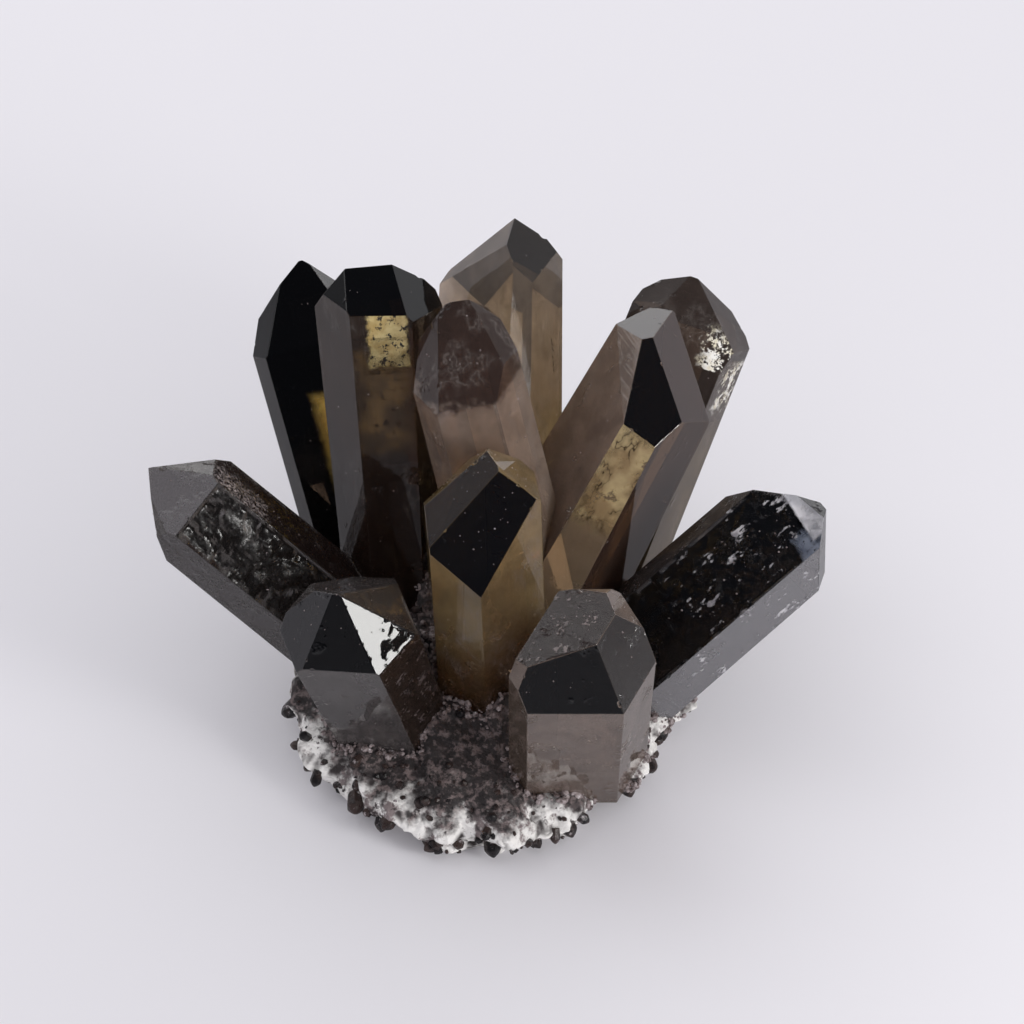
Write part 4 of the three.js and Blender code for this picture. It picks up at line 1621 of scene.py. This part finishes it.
# The loose grains
@dataclass
class Grains:
    """Crumbs round the crystals' feet, dust on their faces and nubs on the rock, in millimetres.

    crumbs, nubs: how many places are tried. crumb, dust, nub: the smallest and the largest.
    crumb_band: how far out crumbs reach, as in Rock.point. crumb_lift: from under the skin to over
    it. crumb_reach: how far from a crystal they lie. bury: how far they may be in a crystal.
    lowest_face: the least upward look of a face with dust. dust_gap: from another crystal.
    nub_band: where nubs lie. nub_height: the lowest, as a share of its size.
    """

    rock: Rock
    crystals: list[Crystal]
    crumbs: int = 16000
    crumb: Span = (0.22, 0.75)
    crumb_band: float = 1.15
    crumb_lift: Span = (-0.2, 1.0)
    crumb_reach: float = 1.7
    bury: float = 0.1
    dust: Span = (0.04, 0.17)
    lowest_face: float = 0.1
    dust_gap: float = 0.1
    nubs: int = 620
    nub: Span = (0.35, 1.0)
    nub_band: Span = (0.72, 1.5)
    nub_height: float = 1.5

    def gap(self, place: Vector) -> float:
        """Returns about how far a place lies from the nearest crystal."""
        return min(crystal.clearance(place) for crystal in self.crystals)

    def crumb_spots(self) -> list[tuple[Vector, float]]:
        """Returns the crumbs' places on the rock beside a crystal, and their sizes."""
        made = []
        for i in range(self.crumbs):
            place = self.rock.point(i * GOLDEN_ANGLE, self.crumb_band * scatter(i, 41) ** 0.6)
            place += self.rock.away(place) * within(self.crumb_lift, scatter(i, 42))
            if -self.bury < self.gap(place) < self.crumb_reach * scatter(i, 43):
                made.append((place, self.size(self.crumb, scatter(i, 44))))
        return made

    def dust_spots(self) -> list[tuple[Vector, float]]:
        """Returns the dust's places on the crystals' upper faces, and its grains' sizes."""
        made = []
        for number, crystal in enumerate(self.crystals):
            shape = crystal.solid()
            faces = [face for face in shape.faces if face.normal.z > self.lowest_face]
            total = sum(face.calc_area() for face in faces)
            for face in faces:
                for i in range(round(crystal.dusty * face.calc_area() / total)):
                    seed = i * 17 + number * 1009 + face.index * 131
                    shares = [scatter(seed, 50 + c) ** 2 for c in range(len(face.verts))]
                    place = Vector(ORIGIN)
                    for share, vert in zip(shares, face.verts):
                        place += vert.co * share / sum(shares)
                    others = (other.clearance(place) for other in self.crystals if other is not crystal)
                    if min(others) > self.dust_gap:
                        made.append((place, self.size(self.dust, scatter(seed, 49))))
            shape.free()
        return made

    def nub_spots(self) -> list[tuple[Vector, float]]:
        """Returns the nubs' places on the rock's rim, and their sizes."""
        made = []
        for i in range(self.nubs):
            out = within(self.nub_band, scatter(i, 45))
            place = self.rock.point(i * GOLDEN_ANGLE + scatter(i, 46), out)
            size = self.size(self.nub, scatter(i, 47))
            if self.gap(place) > size and place.z > self.nub_height * size:
                made.append((place, size))
        return made

    @staticmethod
    def size(span: Span, chance: float) -> float:
        """Returns a grain's size between two bounds: few are large."""
        return within(span, chance**3)

    @staticmethod
    def lay(name: str, spots: list[tuple[Vector, float]], material: bpy.types.Material) -> None:
        """Lays grains as one piece.

        Args:
            name: the piece's name.
            spots: each grain's place and size.
            material: of the grains.
        """
        shape = bmesh.new()
        for i, (place, size) in enumerate(spots):
            way = Vector([scatter(i, 60 + c) - 0.5 for c in range(3)])
            turn = Vector((1.0, 0.0, 0.0)).rotation_difference(way)
            squash = Matrix.Diagonal((1.5 - scatter(i, 63), 1.0, 0.6 + 0.5 * scatter(i, 64), 1.0))
            lay = Matrix.Translation(place) @ turn.to_matrix().to_4x4() @ squash
            bmesh.ops.create_icosphere(shape, subdivisions=1, radius=size, matrix=lay)
        finish_piece(to_object(shape, name, MM), material, "rock")

    @staticmethod
    def material(name: str, effects: Effects) -> bpy.types.Material:
        """Makes the grains' material: pinkish grey, from brown to nearly white.

        Args:
            name: the grains' name.
            effects: the shared shader groups.

        Returns:
            The material.
        """
        grain, place = rough_mineral(
            "grains_of_" + name, effects, 2.2, rough=(0.05, 0.5), relief=(0.4, 0.1)
        )
        tone = grain.cloud(place, scale=1.1, rough=0.7)
        colour = grain.blend(grain.ramp(tone, 0.36, 0.62), (0.08, 0.055, 0.05), (0.4, 0.34, 0.34))
        grain.look(Base_Color=grain.blend(grain.ramp(tone, 0.62, 0.72), colour, (0.8, 0.78, 0.79)))
        return grain.material

    def build(self, effects: Effects) -> None:
        """Builds the three kinds of grains."""
        self.lay("crumbs", self.crumb_spots(), self.material("crumbs", effects))
        self.lay("dust", self.dust_spots(), self.material("dust", effects))
        self.lay("nubs", self.nub_spots(), Druse.material("brown_black_nubs", effects))


# The studio
@dataclass(frozen=True)
class Panel:
    """A soft light panel: where it stands, what it faces, its width and height, power and colour."""

    name: str
    place: Triple
    target: Triple
    size: Span
    watts: float
    colour: Colour

    def build(self) -> None:
        """Puts it in the scene."""
        data = bpy.data.lights.new(self.name, "AREA")
        data.shape = "RECTANGLE"
        data.size = self.size[0] * MM
        data.size_y = self.size[1] * MM
        data.energy = self.watts
        data.color = self.colour
        made = bpy.data.objects.new(self.name, data)
        made.location = Vector(self.place) * MM
        way = Vector(self.target) - Vector(self.place)
        made.rotation_euler = way.to_track_quat("-Z", "Y").to_euler()
        bpy.context.scene.collection.objects.link(made)


@dataclass
class Studio:
    """The plain pale floor, the soft light and the camera. Places are in millimetres.

    pitch: the camera's, up from straight down, in degrees. sight: the nearest and the furthest that
    it sees, in metres. paper, dim_paper: the floor, and how crystals mirror it. daylight: the room's
    light on matt things. dim_room, pale_back: what glossy things mirror of the room.
    """

    eye: Triple = (4.343, -339.411, 388.549)
    pitch: float = 45.0
    lens: float = 112.5
    sensor: float = 36.0
    sight: Span = (0.01, 50.0)
    floor_half: float = 2500.0
    paper: Colour = (0.81, 0.8, 0.83)
    dim_paper: Colour = (0.1, 0.1, 0.11)
    daylight: Colour = (0.7, 0.69, 0.72)
    dim_room: Colour = (0.035, 0.037, 0.045)
    pale_back: Colour = (0.55, 0.55, 0.57)
    panels: tuple[Panel, ...] = (
        Panel("key", (358.0, -228.0, 196.0), (-16.0, -20.0, 40.0), (130.0, 130.0), 0.75, (1.0, 0.99, 0.97)),
        Panel("window", (-330.0, 180.0, 480.0), (0.0, 10.0, 30.0), (330.0, 560.0), 0.55, (0.98, 0.99, 1.0)),
        Panel("back", (80.0, 640.0, 260.0), (0.0, 10.0, 30.0), (900.0, 360.0), 1.2, (0.99, 0.99, 1.0)),
    )

    def build(self) -> None:
        """Builds the camera, the floor and the lights."""
        self.camera()
        self.floor()
        self.world()
        for panel in self.panels:
            panel.build()

    def camera(self) -> None:
        """Makes the camera at the photograph's viewing angle."""
        data = bpy.data.cameras.new("camera")
        data.lens = self.lens
        data.sensor_width = self.sensor
        data.clip_start, data.clip_end = self.sight
        made = bpy.data.objects.new("camera", data)
        made.location = Vector(self.eye) * MM
        made.rotation_euler = (math.radians(self.pitch), 0.0, 0.0)
        bpy.context.scene.collection.objects.link(made)
        bpy.context.scene.camera = made

    @staticmethod
    def mirrored(board: Board) -> tuple[bpy.types.NodeSocket, bpy.types.NodeSocket]:
        """Returns whether a ray is a reflection, and whether it comes through or off glass."""
        path = board.node("ShaderNodeLightPath").outputs
        glossy = path["Is Glossy Ray"]
        return glossy, board.math("MAXIMUM", glossy, path["Is Transmission Ray"])

    def floor(self) -> None:
        """Makes the floor, which crystals mirror darker where it lies in front."""
        shape = bmesh.new()
        bmesh.ops.create_grid(shape, x_segments=1, y_segments=1, size=self.floor_half)
        piece = to_object(shape, "floor", MM)
        paper = Surface("pale_paper")
        in_front = paper.ramp(paper.parts(millimetres(paper))[1], -110.0, -190.0)
        glossy, mirrored = self.mirrored(paper)
        dim = paper.math("MULTIPLY", mirrored, paper.math("MULTIPLY", in_front, 0.8))
        dim = paper.math("MAXIMUM", dim, paper.math("MULTIPLY", glossy, 0.5))
        colour = paper.blend(dim, self.paper, self.dim_paper)
        paper.look(Base_Color=colour, Roughness=0.75, Specular_IOR_Level=0.2)
        piece.data.materials.append(paper.material)

    def world(self) -> None:
        """Makes the room's light: even on matt things, and in glossy ones a dim room with a pale back."""
        world = bpy.data.worlds.new("room")
        bpy.context.scene.world = world
        world.use_nodes = True
        board = Board(world.node_tree)
        way = board.parts(board.node("ShaderNodeTexCoord").outputs["Generated"])
        behind = board.ramp(way[1], 0.1, 0.7)
        low = board.ramp(way[2], 0.75, 0.35)
        right = board.ramp(way[0], 0.45, 0.95)
        bright = board.math("MULTIPLY", board.math("MAXIMUM", behind, right), low)
        room = board.blend(bright, self.dim_room, self.pale_back)
        colour = board.blend(self.mirrored(board)[1], self.daylight, room)
        board.fill(world.node_tree.nodes["Background"], Color=colour, Strength=1.0)


def main() -> None:
    """Builds the studio, the crystals, the rock, the druse and the grains."""
    logging.basicConfig(level=logging.INFO, format="%(name)s: %(message)s")
    bpy.context.scene.view_settings.view_transform = "Standard"
    effects = Effects()
    Studio().build()
    CrystalGroup(CRYSTALS).build(effects)
    rock = Rock()
    rock.build(CRYSTALS, effects)
    Druse(rock, CRYSTALS).build(effects)
    Grains(rock, CRYSTALS).build(effects)


if __name__ == "__main__":
    main()
